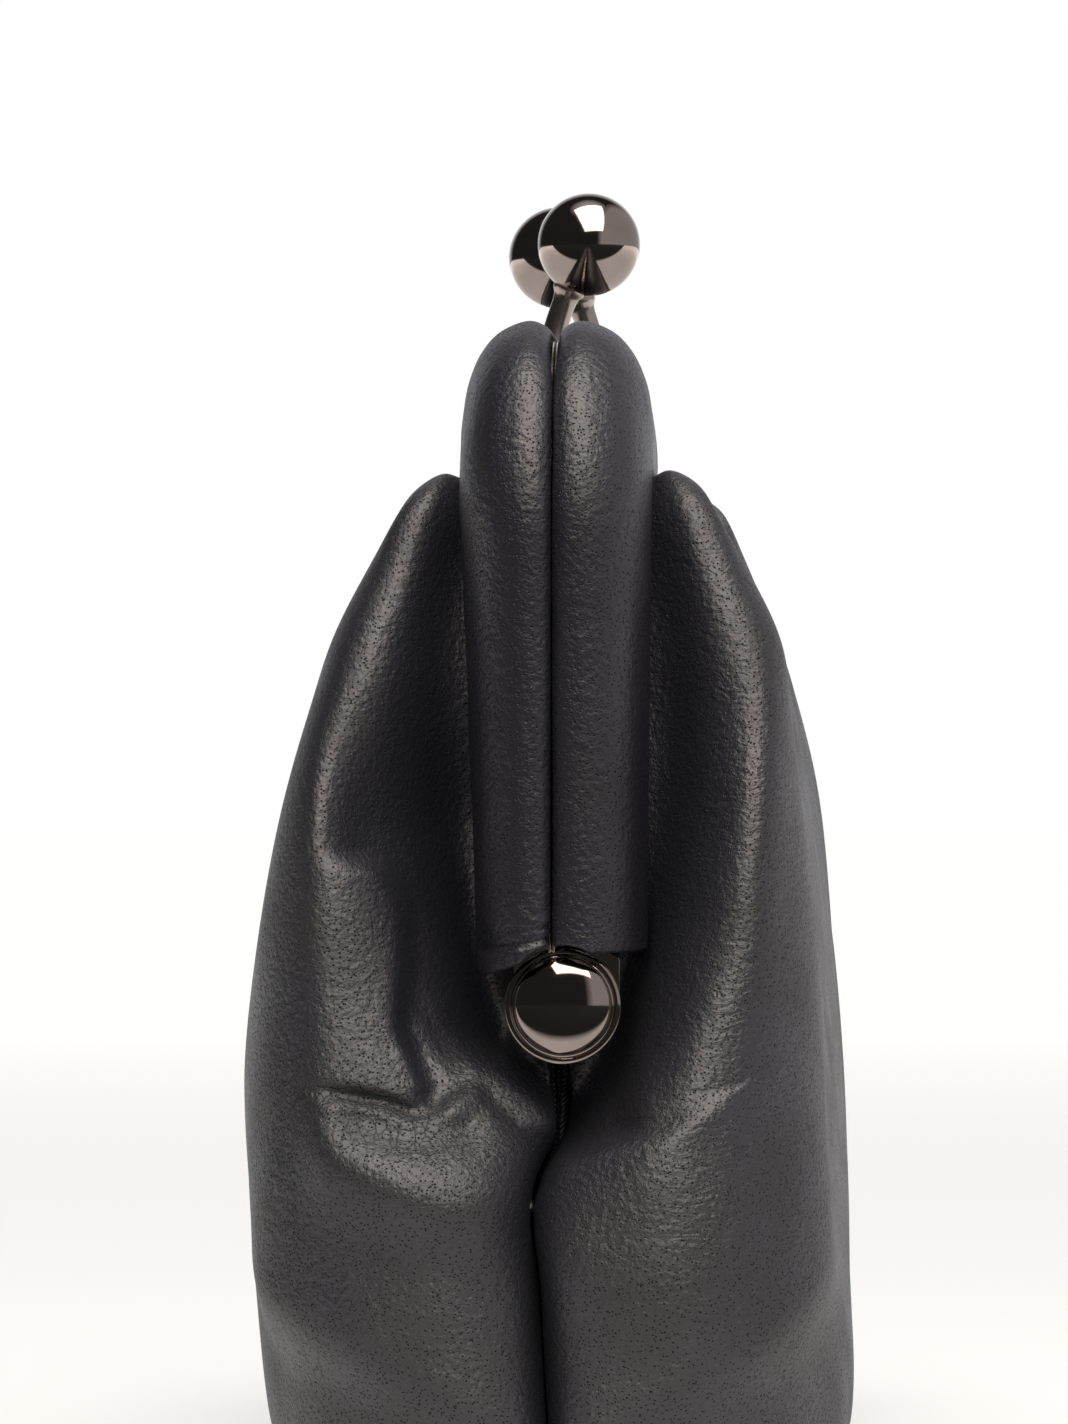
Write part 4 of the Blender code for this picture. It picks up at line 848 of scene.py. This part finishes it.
shell = np.stack([x, y, z], axis=-1).reshape(-1, 3), grid_faces(len(along), len(up), False)
pocket = new_piece("twill_card_pocket", [shell], black_twill, toward=(0, 1, 0))
thicken(pocket, POCKET_WALL - 0.1 * MM)
blend_to_frame(pocket, "card_pocket")


# Base: a board of grey chipboard under the lining keeps the floor flat, on a panel of lambskin that the
# two leaves of the pouch are turned in over.

BASE_OUT_SHARES = (0.0, 0.036, 0.070, 0.096, 0.110, 0.116, 0.116)
BASE_RISE_SHARES = (0.006, 0.014, 0.046, 0.106, 0.200, 0.300, 0.420)
BASE_CORNER_SHARES = (0.0, 0.032, 0.060, 0.076, 0.060, 0.020, -0.080)
BASE_STATION_SHARES = (0.0, 0.7, 1.0)
FOOT_DEPTH_SHARES = (0.065, 0.035, 0.018, 0.0, -0.012, 0.016, 0.110)
FOOT_WIDTH_SHARES = (0.0, 0.020, 0.075, 0.210, 0.440, 0.780, 0.990)
FOOT_RISE_SHARES = (0.006, 0.020, 0.070, 0.150, 0.250, 0.360, 0.460)
BASE_MARGIN = 0.9 * MM
BASE_PRESSED = 0.05 * MM


def base_rows():
    """Rows of the leather's net along the base panel's edge: each starts on it and rolls out and up."""
    outs, rises = HINGE * np.array(BASE_OUT_SHARES), HINGE * np.array(BASE_RISE_SHARES)
    straight = BASE_LENGTH - BASE_WIDTH
    rows = [np.stack([np.full(len(outs), straight * share), BASE_WIDTH + outs, rises], axis=1)
            for share in BASE_STATION_SHARES]
    reach = math.sqrt(0.5) * (BASE_WIDTH + HINGE * np.array(BASE_CORNER_SHARES))
    corner = np.stack([straight + reach, reach, rises], axis=1)
    corner[:, 1] += (pouch_half_width(rises) - corner[:, 1]) * np.linspace(0, 1, len(rises)) ** 2
    rim = BASE_WIDTH * math.pi / 4
    places = [-2 * rim - straight * (1 - share) for share in BASE_STATION_SHARES] + [-rim]
    return np.array(rows + [corner]), np.array(places)


foot = [(HALF_LENGTH * (1 - FOOT_DEPTH_SHARES[0]), SEAM_GAP)]
rows, places = base_rows()
edge = curve(np.append(places, 0.0), np.concatenate([rows[:, 0, :2], foot]), np.linspace(places[0], 0.0, 61))
edge = np.clip(edge - BASE_MARGIN * np.array([edge[:, 0] / BASE_LENGTH, np.ones(len(edge))]).T, 0, None)
edge[0, 0], edge[-1, 1] = 0.0, 0.0
outline = np.concatenate([edge * (1, -1), edge[-2::-1], edge[1:] * (-1, 1), edge[-2:0:-1] * (-1, -1)])
points, faces = plate(outline, BASE_PRESSED, LEATHER - BASE_PRESSED)
base = new_piece("lambskin_base", [(points[:, [1, 2, 0]], faces)], black_lambskin)
ease_edges(base, 0.3 * MM, 3)
place_on(base, "pouch", "leather", "base_panel")
board = frame["nodes"]["base_board"]
board.data.materials.clear()
# Grey board: pressed paper pulp, matt, with flecks of darker fibre
pulp = fibrous("grey_chipboard", "#7d7a73", "#a5a198", (0.8 * MM, 0.8 * MM, 0.8 * MM), 6.0, 0.056 * MM,
               Roughness=0.9, Specular_IOR_Level=0.2)
board.data.materials.append(pulp)


# Pouch leaves: one cut of lambskin for each half. Its edge is wedged in the frame's channel, so that it
# leaves the arm inward, folds back past it as a shoulder, and pinches together with the other under the
# hinge. Wear has set deep creases in the end of the front leaf.

LEAF_WALL = 0.6 * MM
LEATHER_LINE = CHANNEL_WIDTH - CHANNEL_WALL - FIT
PANEL_RAILS_SHARES = (
    ((1.09, 0.264), (0.58, 0.330), (-0.03, 0.578), (0.29, 0.840), 0.90),
    ((1.11, 0.314), (0.61, 0.436), (0.10, 0.644), (0.385, 0.800), 0.96),
    ((1.09, 0.300), (0.83, 0.400), (0.47, 0.530), (0.70, 0.620), 1.06),
    ((1.07, 0.250), (1.00, 0.330), (0.84, 0.410), (0.96, 0.520), 1.18),
    ((1.06, 0.225), (1.01, 0.325), (0.94, 0.380), (1.06, 0.480), 1.31),
)
PANEL_SEAM_SHARES = (
    (0.40, (0.58, 0.0), (0.35, 0.003), (0.13, 0.030), (-0.06, 0.165), (-0.16, 0.430), (0.13, 0.840), 0.84),
    (0.68, (0.96, 0.0), (0.71, 0.002), (0.42, 0.007), (0.13, 0.125), (-0.13, 0.396), (0.16, 0.825), 0.90),
    (0.88, (0.80, 0.045), (0.93, 0.072), (0.93, 0.165), (0.45, 0.264), (-0.08, 0.512), (0.24, 0.845), 0.90),
)
SEAM_LIFT_SHARES = (0.22, 0.10, 0.04)
RAIL_LIFT_SHARES = (0.0, 0.0, 0.1, 0.3, 0.6, 1.0, 1.0)
PANEL_SPINE_SHARES = (0.18, 0.38, 0.6, 0.8, 1.0)
PANEL_AROUND = (22, 12, 24, 40, 48, 34, 26, 15, 36, 36, 26, 30, 10, 20)
PANEL_AROUND_FAR = (22, 12, 24, 16, 18, 14, 12, 8, 18, 16, 12, 14, 6, 20)
PANEL_ACROSS = (5, 7, 14, 17, 15, 10, 5, 4, 3, 3, 3)

# Along the length, where the folds of the end in view set in and are full
END_IN_VIEW = (50 * MM, 74 * MM)

# How far each leaf's half width departs from the plain pouch at heights up the end, in millimetres
LEAN = {FRONT: ((0, 25, 45, 60, 75, 88, 100, 112), (0, 1.0, 1.8, 1.5, 0.6, 0.0, -0.2, 0)),
        BACK: ((0, 25, 33, 45, 60, 75, 88, 100), (0, -1.5, -2.3, -2.9, -2.7, -1.8, 0.2, 0.8))}

# At the end in view the shoulders beside the frame lie lower, and the crests under them further out
SHOULDER_DROP = {FRONT: 1.8 * MM, BACK: 0.9 * MM}
CREST_SHIFT = {FRONT: 1.7 * MM, BACK: 2.0 * MM}

# Place of those crests along X at heights above the ground; a sharp fold there is rounded off
CREST_X = ((40, 93.0), (50, 92.3), (60, 91.5), (70, 90.0), (80, 87.0), (90, 84.2), (98, 81.5), (106, 79.0))

# Creases on the end in view, drawn as (millimetres out from the seam, millimetres above the hinge)
LEDGE = ((24, 14.9), (21.2, 14.6), (17.4, 13.9), (15.8, 12.1), (14.9, 9.2), (14.8, 3.7), (15.3, -1.7),
         (14.6, -4))
PINCH = ((25.5, -8.0), (23.2, -8.6), (19.7, -9.2), (17.0, -9.7), (13.8, -10.8), (11.7, -10.4), (9.0, -8.1),
         (7.4, -6.7))
SWELLING = ((24.0, -13.5), (17.0, -17.5), (9.0, -19.5), (3.0, -19.0))
BACK_ROLL = ((-1.0, -18.0), (1.0, -15.2), (5.0, -13.8), (11.0, -12.4), (17.0, -9.0))
TUCK = ((14.5, -0.4), (13.3, -1.1), (11.7, -3.3), (9.5, -4.6), (6.3, -5.7), (3.6, -7.0), (1.0, -9.2),
        (-0.5, -11.0), (-0.6, -12.9), (1.0, -15.9), (1.4, -19.0))
FINE_CREASES = (((13.6, 0.7), (11.8, -2.4), (10.4, -6.2)), ((14.6, -1.8), (12.9, -4.6), (11.8, -8.0)),
                ((10.6, -3.6), (9.2, -6.0), (8.6, -8.6)), ((17.2, -3.4), (15.0, -6.4), (13.6, -9.4)))
FINE_CREASE_DEPTH = 0.35 * MM
FINE_CREASE_WIDTH = 0.5 * MM

# More hollows on it: a line, then its depth and width in millimetres
HOLLOWS = ((((22.4, -11.3), (21.0, -10.9), (18.6, -10.9)), 0.4, 0.6),
           (((18.5, -11.8), (14.0, -12.8), (9.0, -12.2)), 2.0, 2.2))

# How far the side seam sways sideways, as heights and amounts in millimetres
SEAM_SWAY = ((0, 20, 33.5, 37, 40, 46, 60), (0, -1.2, -1.3, 0.6, 0.9, 0, 0))


def to_line(y, z, corners):
    """Distance to a curve drawn through the corners, positive on the left of its direction."""
    corners = np.array(corners, float) * MM
    steps = np.arange(len(corners))
    line = curve(steps, corners, np.linspace(0, steps[-1], 6 * len(corners)))
    best, hand = np.full(y.shape, np.inf), np.ones(y.shape)
    for start, run in zip(line[:-1], np.diff(line, axis=0)):
        share = np.clip(((y - start[0]) * run[0] + (z - start[1]) * run[1]) / (run @ run), 0, 1)
        off_y, off_z = y - start[0] - share * run[0], z - start[1] - share * run[1]
        distance = np.hypot(off_y, off_z)
        hand = np.where(distance < best, np.where(run[0] * off_z - run[1] * off_y < 0, -1.0, 1.0), hand)
        best = np.minimum(distance, best)
    return best * hand


def groove(distance, width):
    """A bell curve: 1 on the line, and under 0.4 one width away from it."""
    return np.exp(-(distance / width) ** 2)


def crease_front(out, up, x):
    """How far the creases move the end of the front leaf along X."""
    ledge, pinch = to_line(out, up, LEDGE), to_line(out, up, PINCH)
    above = fade(pinch, 0.9 * MM, -0.9 * MM) * fade(up, 34 * MM, 17 * MM)
    soft = 0.6 * MM + 0.6 * MM * fade(up, 9 * MM, 13 * MM)
    move = -3.2 * MM * fade(ledge / soft, 1.0, -1.0) * fade(out, 25 * MM, 18 * MM) * above
    move -= 2.0 * MM * fade(out, 26 * MM, 12 * MM) * above
    reach = fade(out, 25.5 * MM, 20 * MM)
    move -= 1.5 * MM * groove(pinch, 0.8 * MM) * reach * fade(out, 10.5 * MM, 13.5 * MM)
    move += 2.7 * MM * groove(to_line(out, up, SWELLING), 4.8 * MM) * fade(out, 27 * MM, 22 * MM)
    for corners, depth, width in HOLLOWS:
        move -= depth * MM * groove(to_line(out, up, corners), width * MM)
    tuck = to_line(out, up, TUCK)
    inside = fade(tuck, -2.0 * MM, 1.2 * MM) * fade(out, 15 * MM, 12 * MM) * fade(up, 1 * MM, -1 * MM)
    inside *= fade(up, -32 * MM, -20 * MM)
    target = HALF_LENGTH - 3.6 * MM - 5.0 * MM * np.exp(-np.clip(tuck, 0, None) / (3.0 * MM))
    move += inside * np.clip(target - x - move, 0, None)
    for corners in FINE_CREASES:
        move -= FINE_CREASE_DEPTH * groove(to_line(out, up, corners), FINE_CREASE_WIDTH)
    return move


def crease_back(out, up, x):
    """The back leaf rolls over its own foot: it bulges below the line, and draws in above it at the seam."""
    above = to_line(out, up, BACK_ROLL)
    roll = 1.7 * MM * fade(above, 1.2 * MM, -1.2 * MM) * fade(out, 24 * MM, 10 * MM)
    drawn_in = 4 * MM * fade(above, -0.6 * MM, 1.2 * MM) * fade(out, 9.5 * MM, 6 * MM)
    return roll * fade(up, -38 * MM, -24 * MM) - drawn_in * fade(up, 8 * MM, -2 * MM)


def by_height(table, z):
    """The curve through a table's millimetres (heights, amounts), read at the heights z."""
    heights, amounts = np.array(table) * MM
    return curve(heights, amounts, np.clip(z, 0, heights[-1]))


def lean_end(points, side):
    """Leans both leaves to the outline in view and sways the side seam."""
    x, out, z = points[:, 0], side * points[:, 1], points[:, 2]
    up, in_view = z - HINGE, fade(x, *END_IN_VIEW)
    lean = by_height(LEAN[side], z) * (0.65 + 0.35 * fade(x, 10 * MM, 50 * MM)) * fade(out, 10 * MM, 26 * MM)
    level = fade(up, 46 * MM, 36 * MM) * fade(up, -6 * MM, 8 * MM)
    points[:, 1] += side * (lean + CREST_SHIFT[side] * groove(out - 18 * MM, 6 * MM) * level * in_view)
    points[:, 2] -= SHOULDER_DROP[side] * fade(up, 44 * MM, 56 * MM) * fade(out, 8 * MM, 16 * MM)
    heights, crests = np.array(CREST_X).T * MM
    over = np.clip(x - np.interp(z, heights, crests) + 4.5 * MM, 0, None)
    points[:, 0] -= 0.07 / MM * over ** 2 * fade(up, -12 * MM, 2 * MM)
    points[:, 1] += in_view * by_height(SEAM_SWAY, z) * groove(points[:, 1], 5 * MM)
    return points


def clear_of_cover(points, side):
    """Pushes the leaf out where it would lie inside the cover of its frame half."""
    depth, z = depth_under_outline(points), points[:, 2]
    up = np.clip((z - HINGE) / (TOP - HINGE - COVER_DEPTH), 0, 1)
    width = COVER_FOOT_WIDTH[side] + (COVER_TOP_WIDTH[side] - COVER_FOOT_WIDTH[side]) * up
    beside = fade(depth, COVER_DEPTH + 0.5 * MM, COVER_DEPTH - 1.5 * MM) * fade(z, HINGE, HINGE + 6 * MM)
    out = side * points[:, 1] - width
    short = np.clip(0.3 * MM - out, 0, None) * fade(out, -4.5 * MM, -2 * MM)
    points[:, 1] += side * short * beside
    return points


def panel_stations():
    """Stations up the side seam and along the frame, each with its rails' depths, widths and lifts."""
    along = frame_stations([0.0] + [row[0] for row in PANEL_SEAM_SHARES])
    depths = [HALF_LENGTH * np.array(FOOT_DEPTH_SHARES)]
    widths = [SEAM_GAP + HALF_WIDTH * np.array(FOOT_WIDTH_SHARES)]
    for height, *rails, face_depth in PANEL_SEAM_SHARES:
        depths.append([COVER_DEPTH * rail[0] for rail in rails] + [COVER_DEPTH * face_depth])
        face = pouch_half_width(HINGE * height)
        widths.append([SEAM_GAP + HALF_WIDTH * rail[1] for rail in rails] + [face])
    on_frame = PANEL_RAILS_SHARES + PANEL_RAILS_SHARES[-1:] * len(TOP_STATION_SHARES)
    for *rails, face_depth in on_frame:
        depths.append([EDGE_DEPTH, COVER_DEPTH - FIT] + [COVER_DEPTH * rail[0] for rail in rails]
                      + [COVER_DEPTH * face_depth])
        widths.append([LEATHER_LINE, LEATHER_LINE] + [HALF_WIDTH * rail[1] for rail in rails] + [0.0])
    depths, widths = np.array(depths), np.array(widths)
    lifts = np.zeros_like(depths)
    lifts[0] = HINGE * np.array(FOOT_RISE_SHARES)
    lifts[1:4] = HINGE * np.outer(SEAM_LIFT_SHARES, RAIL_LIFT_SHARES)
    widths[1:, -1] = pouch_half_width(rim_points(along, depths, widths, lifts)[1:, -1, 2])
    return along, depths, widths, lifts


def cracks(points, side):
    """Share of cracking: about the pinch and low down on the front leaf, a little at the back one's foot."""
    near, out, up = fade(points[:, 0], 60 * MM, 76 * MM), side * points[:, 1], points[:, 2] - HINGE
    if side == BACK:
        return 0.15 * near * fade(up, 0, -20 * MM)
    pinched = 0.75 * groove(to_line(out, up, PINCH) - 1.0 * MM, 4.0 * MM)
    return near * np.clip(pinched + 0.2 * fade(up, -9 * MM, -15 * MM) * fade(out, 3 * MM, 8 * MM), 0, 1)


def ripples(points, side):
    """Share of level wrinkles: some everywhere, more at the end in view and most on the back one's crest."""
    crest = 0.75 * groove(side * points[:, 1] - 17 * MM, 7 * MM) if side == BACK else 0.0
    return 0.25 + fade(points[:, 0], 60 * MM, 76 * MM) * (0.25 + crest)


for name, side in SIDES:
    near, far = (half_net(*base_rows(), panel_stations(), 0.0, PANEL_SPINE_SHARES, around, PANEL_ACROSS)
                 for around in (PANEL_AROUND, PANEL_AROUND_FAR))
    points, faces, row = leaf(near, far, side)
    free = np.where(row < 2, 0.0, 0.5)
    points = soften(points, faces, free * (0.3 + 0.7 * fade(points[:, 0], -20 * MM, 20 * MM)), 60)
    points = lean_end(points, side)
    points = soften(points, faces, free * fade(points[:, 0], 20 * MM, 50 * MM), 45)
    crease = crease_front if side == FRONT else crease_back
    x, out, up = points[:, 0], side * points[:, 1], points[:, 2] - HINGE
    points[:, 0] += fade(x, *END_IN_VIEW) * crease(out, up, x)
    points = soften(points, faces, free, 1)
    x, z = points[:, 0], points[:, 2]
    face = fade(side * points[:, 1], 14 * MM, 24 * MM)
    under_bar = fade(z, TOP - 60 * MM, TOP - 22 * MM) * fade(np.abs(x), 80 * MM, 60 * MM)
    gathers = np.sin(x / (17 * MM) * 2 * math.pi + 1.5 * swell(points, 60 * MM, 21))
    lumps = 0.45 * MM * swell(points, 34 * MM, 22 + side) + 0.35 * MM * under_bar * gathers
    points[:, 1] += side * face * lumps
    points[:, 0] += 0.22 * MM * np.sign(x) * (1 - face) * swell(points, 13 * MM, 31 + side)
    points = clear_of_cover(points, side)
    creased = fade(points[:, 0], *END_IN_VIEW) * fade(side * points[:, 1], 12.5 * MM, 14 * MM)
    points = soften(points, faces, free * (1 - 0.85 * creased), 4)
    panel = new_piece(name + "_lambskin_leaf", [(points, faces)], black_lambskin, 75, (0, side, 0))
    mark(panel, "crease", cracks, side)
    mark(panel, "ripple", ripples, side)
    thicken(panel, LEAF_WALL)
    blend_to_frame(panel, name + "_panel")


# Paper cord: a tight twist of kraft paper pressed into each channel over the edges of leather and lining,
# which wedges them there.

CORD_RADIUS = 0.3 * MM
CORD_DEPTH = 10 * MM
CORD_TWIST = 1.6 * MM
CORD_LINE = (LEATHER_LINE - LEATHER + LINING_LINE) / 2

# Unbleached paper twisted to a cord: a warm tan with darker lines in the lay
kraft = fibrous("twisted_kraft_paper", "#9c8058", "#c9ae82", (0.4 * MM, 0.4 * MM, 0.4 * MM), 4.0, 0.0,
                Roughness=0.88, Specular_IOR_Level=0.2)
for name, side in SIDES:
    along = arch_stations(HINGE + ARM_FOOT, 900)[:, None]
    turn = np.arange(18) * 2 * math.pi / 18
    radius = CORD_RADIUS * (0.86 + 0.14 * np.abs(np.cos(1.5 * turn)))
    lay = turn + along / CORD_TWIST * 2 * math.pi / 3
    points = on_arch(along, side * (CORD_LINE + radius * np.cos(lay)), CORD_DEPTH + radius * np.sin(lay))
    cord = new_piece(name + "_twisted_paper_cord", [swept(points)], kraft)
    place_on(cord, name + "_half", "paper", name + "_paper_cord")


# Table and backdrop: a matt white sweep. Its own light grows with the distance, so that it runs out into
# the white backdrop, and reflections see it end a little way in front of the wallet.

TABLE_SIZE = 6.0
TABLE_EDGE = 0.145
made, tree, shader = new_finish("matt_white_table", Roughness=0.9, Specular_IOR_Level=0.1,
                                Emission_Color="#fffdfb")
made.cycles.emission_sampling = "NONE"
place = add(tree, "TexCoord").outputs["Object"]
path = add(tree, "LightPath").outputs
away = add(tree, "MapRange", add(tree, "VectorMath", place, operation="LENGTH"), 0.25, 1.6)
seen = add(tree, "Math", path["Is Camera Ray"], path["Is Glossy Ray"], operation="MAXIMUM")
seen = add(tree, "Math", seen, path["Is Transmission Ray"], operation="MAXIMUM")
matt = add(tree, "Mix", away, "#a5a3a1", "#000000", data_type="RGBA")
colour = add(tree, "Mix", seen, "#efeeec", matt, data_type="RGBA")
colour = add(tree, "Mix", path["Is Glossy Ray"], colour, "#000000", data_type="RGBA")
glow = add(tree, "MapRange", away, 0.0, 1.0, 0.58, 1.0)
lit = add(tree, "Math", glow, seen, operation="MULTIPLY")
x = add(tree, "SeparateXYZ", place).outputs["X"]
beyond = add(tree, "MapRange", x, TABLE_EDGE, TABLE_EDGE + 0.03, 1.5, 0.04)
edge = add(tree, "Mix", path["Is Glossy Ray"], 1.0, beyond)
feed(shader, Base_Color=colour, Emission_Strength=add(tree, "Math", lit, edge, operation="MULTIPLY"))
corners = np.array([(-1, -1, 0), (1, -1, 0), (1, 1, 0), (-1, 1, 0)]) * TABLE_SIZE
table = new_piece("table", [(corners, [[0, 1, 2, 3]])], made, toward=(0, 0, 1))


# Light: an even white room, one large softbox overhead and in front, and a low strip that only the
# pouch gets. Polished metal sees white behind the wallet, a grey reflector on its right and the dark
# room on the camera's side.

DARK_ROOM = 0.03
world = bpy.data.worlds.new("studio")
bpy.context.scene.world = world
world.use_nodes = True
world.cycles.sampling_method = "NONE"
sky = world.node_tree
room = sky.nodes["Background"]
feed(room, Color="#fdfcff", Strength=0.38)
toward = add(sky, "SeparateXYZ", add(sky, "TexCoord").outputs["Generated"]).outputs
behind = add(sky, "MapRange", toward["X"], -0.70, -0.97)
right = add(sky, "MapRange", toward["Y"], 0.34, 0.50, 0.0, 0.50)
above = add(sky, "MapRange", toward["Z"], 0.86, 0.97, 0.0, 0.7)
most = DARK_ROOM
for patch in (behind, right, above):
    most = add(sky, "Math", most, patch, operation="MAXIMUM")
mirrored = add(sky, "Background", "#fbfaff", most)
backdrop = add(sky, "Background", "#ffffff", 1.0)
path = add(sky, "LightPath").outputs
sharp = add(sky, "Math", path["Is Glossy Ray"], path["Is Transmission Ray"], operation="MAXIMUM")
choice = add(sky, "MixShader", sharp, room, mirrored)
choice = add(sky, "MixShader", path["Is Camera Ray"], choice, backdrop)
feed(sky.nodes["World Output"], Surface=choice)

end_middle = Vector((HALF_LENGTH, 0.0, HINGE))


def softbox(name, size, radiance, offset):
    """A rectangular lamp at the offset from the near end, turned toward it and hidden from the camera."""
    lamp = bpy.data.lights.new(name, "AREA")
    lamp.shape = "RECTANGLE"
    lamp.size, lamp.size_y = size
    lamp.energy = radiance * math.pi * size[0] * size[1]
    lamp.color = linear("#fff8f2")[:3]
    made = bpy.data.objects.new(name, lamp)
    bpy.context.scene.collection.objects.link(made)
    made.location = end_middle + Vector(offset)
    made.rotation_euler = (end_middle - made.location).to_track_quat("-Z", "Y").to_euler()
    made.visible_camera = False
    return made


softbox("key_softbox", (0.85, 1.30), 4.6, (0.37, 0.10, 0.92))
strip = softbox("front_strip", (0.55, 0.70), 6.0, (1.0, 0.0, 0.42))
pouch_only = bpy.data.collections.new("pouch_only")
for name, side in SIDES:
    pouch_only.objects.link(bpy.data.objects[name + "_lambskin_leaf"])
strip.light_linking.receiver_collection = pouch_only


# Camera: at the end of the wallet, level with the middle of the frame and a little to its right

PIXEL = 0.1 * MM
IMAGE_HEIGHT = 1424
SENSOR = 36.0
EYE = Vector((1.292, 30 * MM, HINGE + 30.7 * MM))
AIM = Vector((HALF_LENGTH, -1.7 * MM, HINGE + 29.5 * MM))
camera = bpy.data.objects.new("camera", bpy.data.cameras.new("camera"))
bpy.context.scene.collection.objects.link(camera)
camera.location = EYE
camera.rotation_euler = (AIM - EYE).to_track_quat("-Z", "Y").to_euler()
camera.data.sensor_width = SENSOR
camera.data.lens = SENSOR * (AIM - EYE).length / (IMAGE_HEIGHT * PIXEL)
camera.data.clip_start, camera.data.clip_end = 0.01, 50.0
bpy.context.scene.camera = camera
bpy.context.scene.view_settings.view_transform = "Standard"
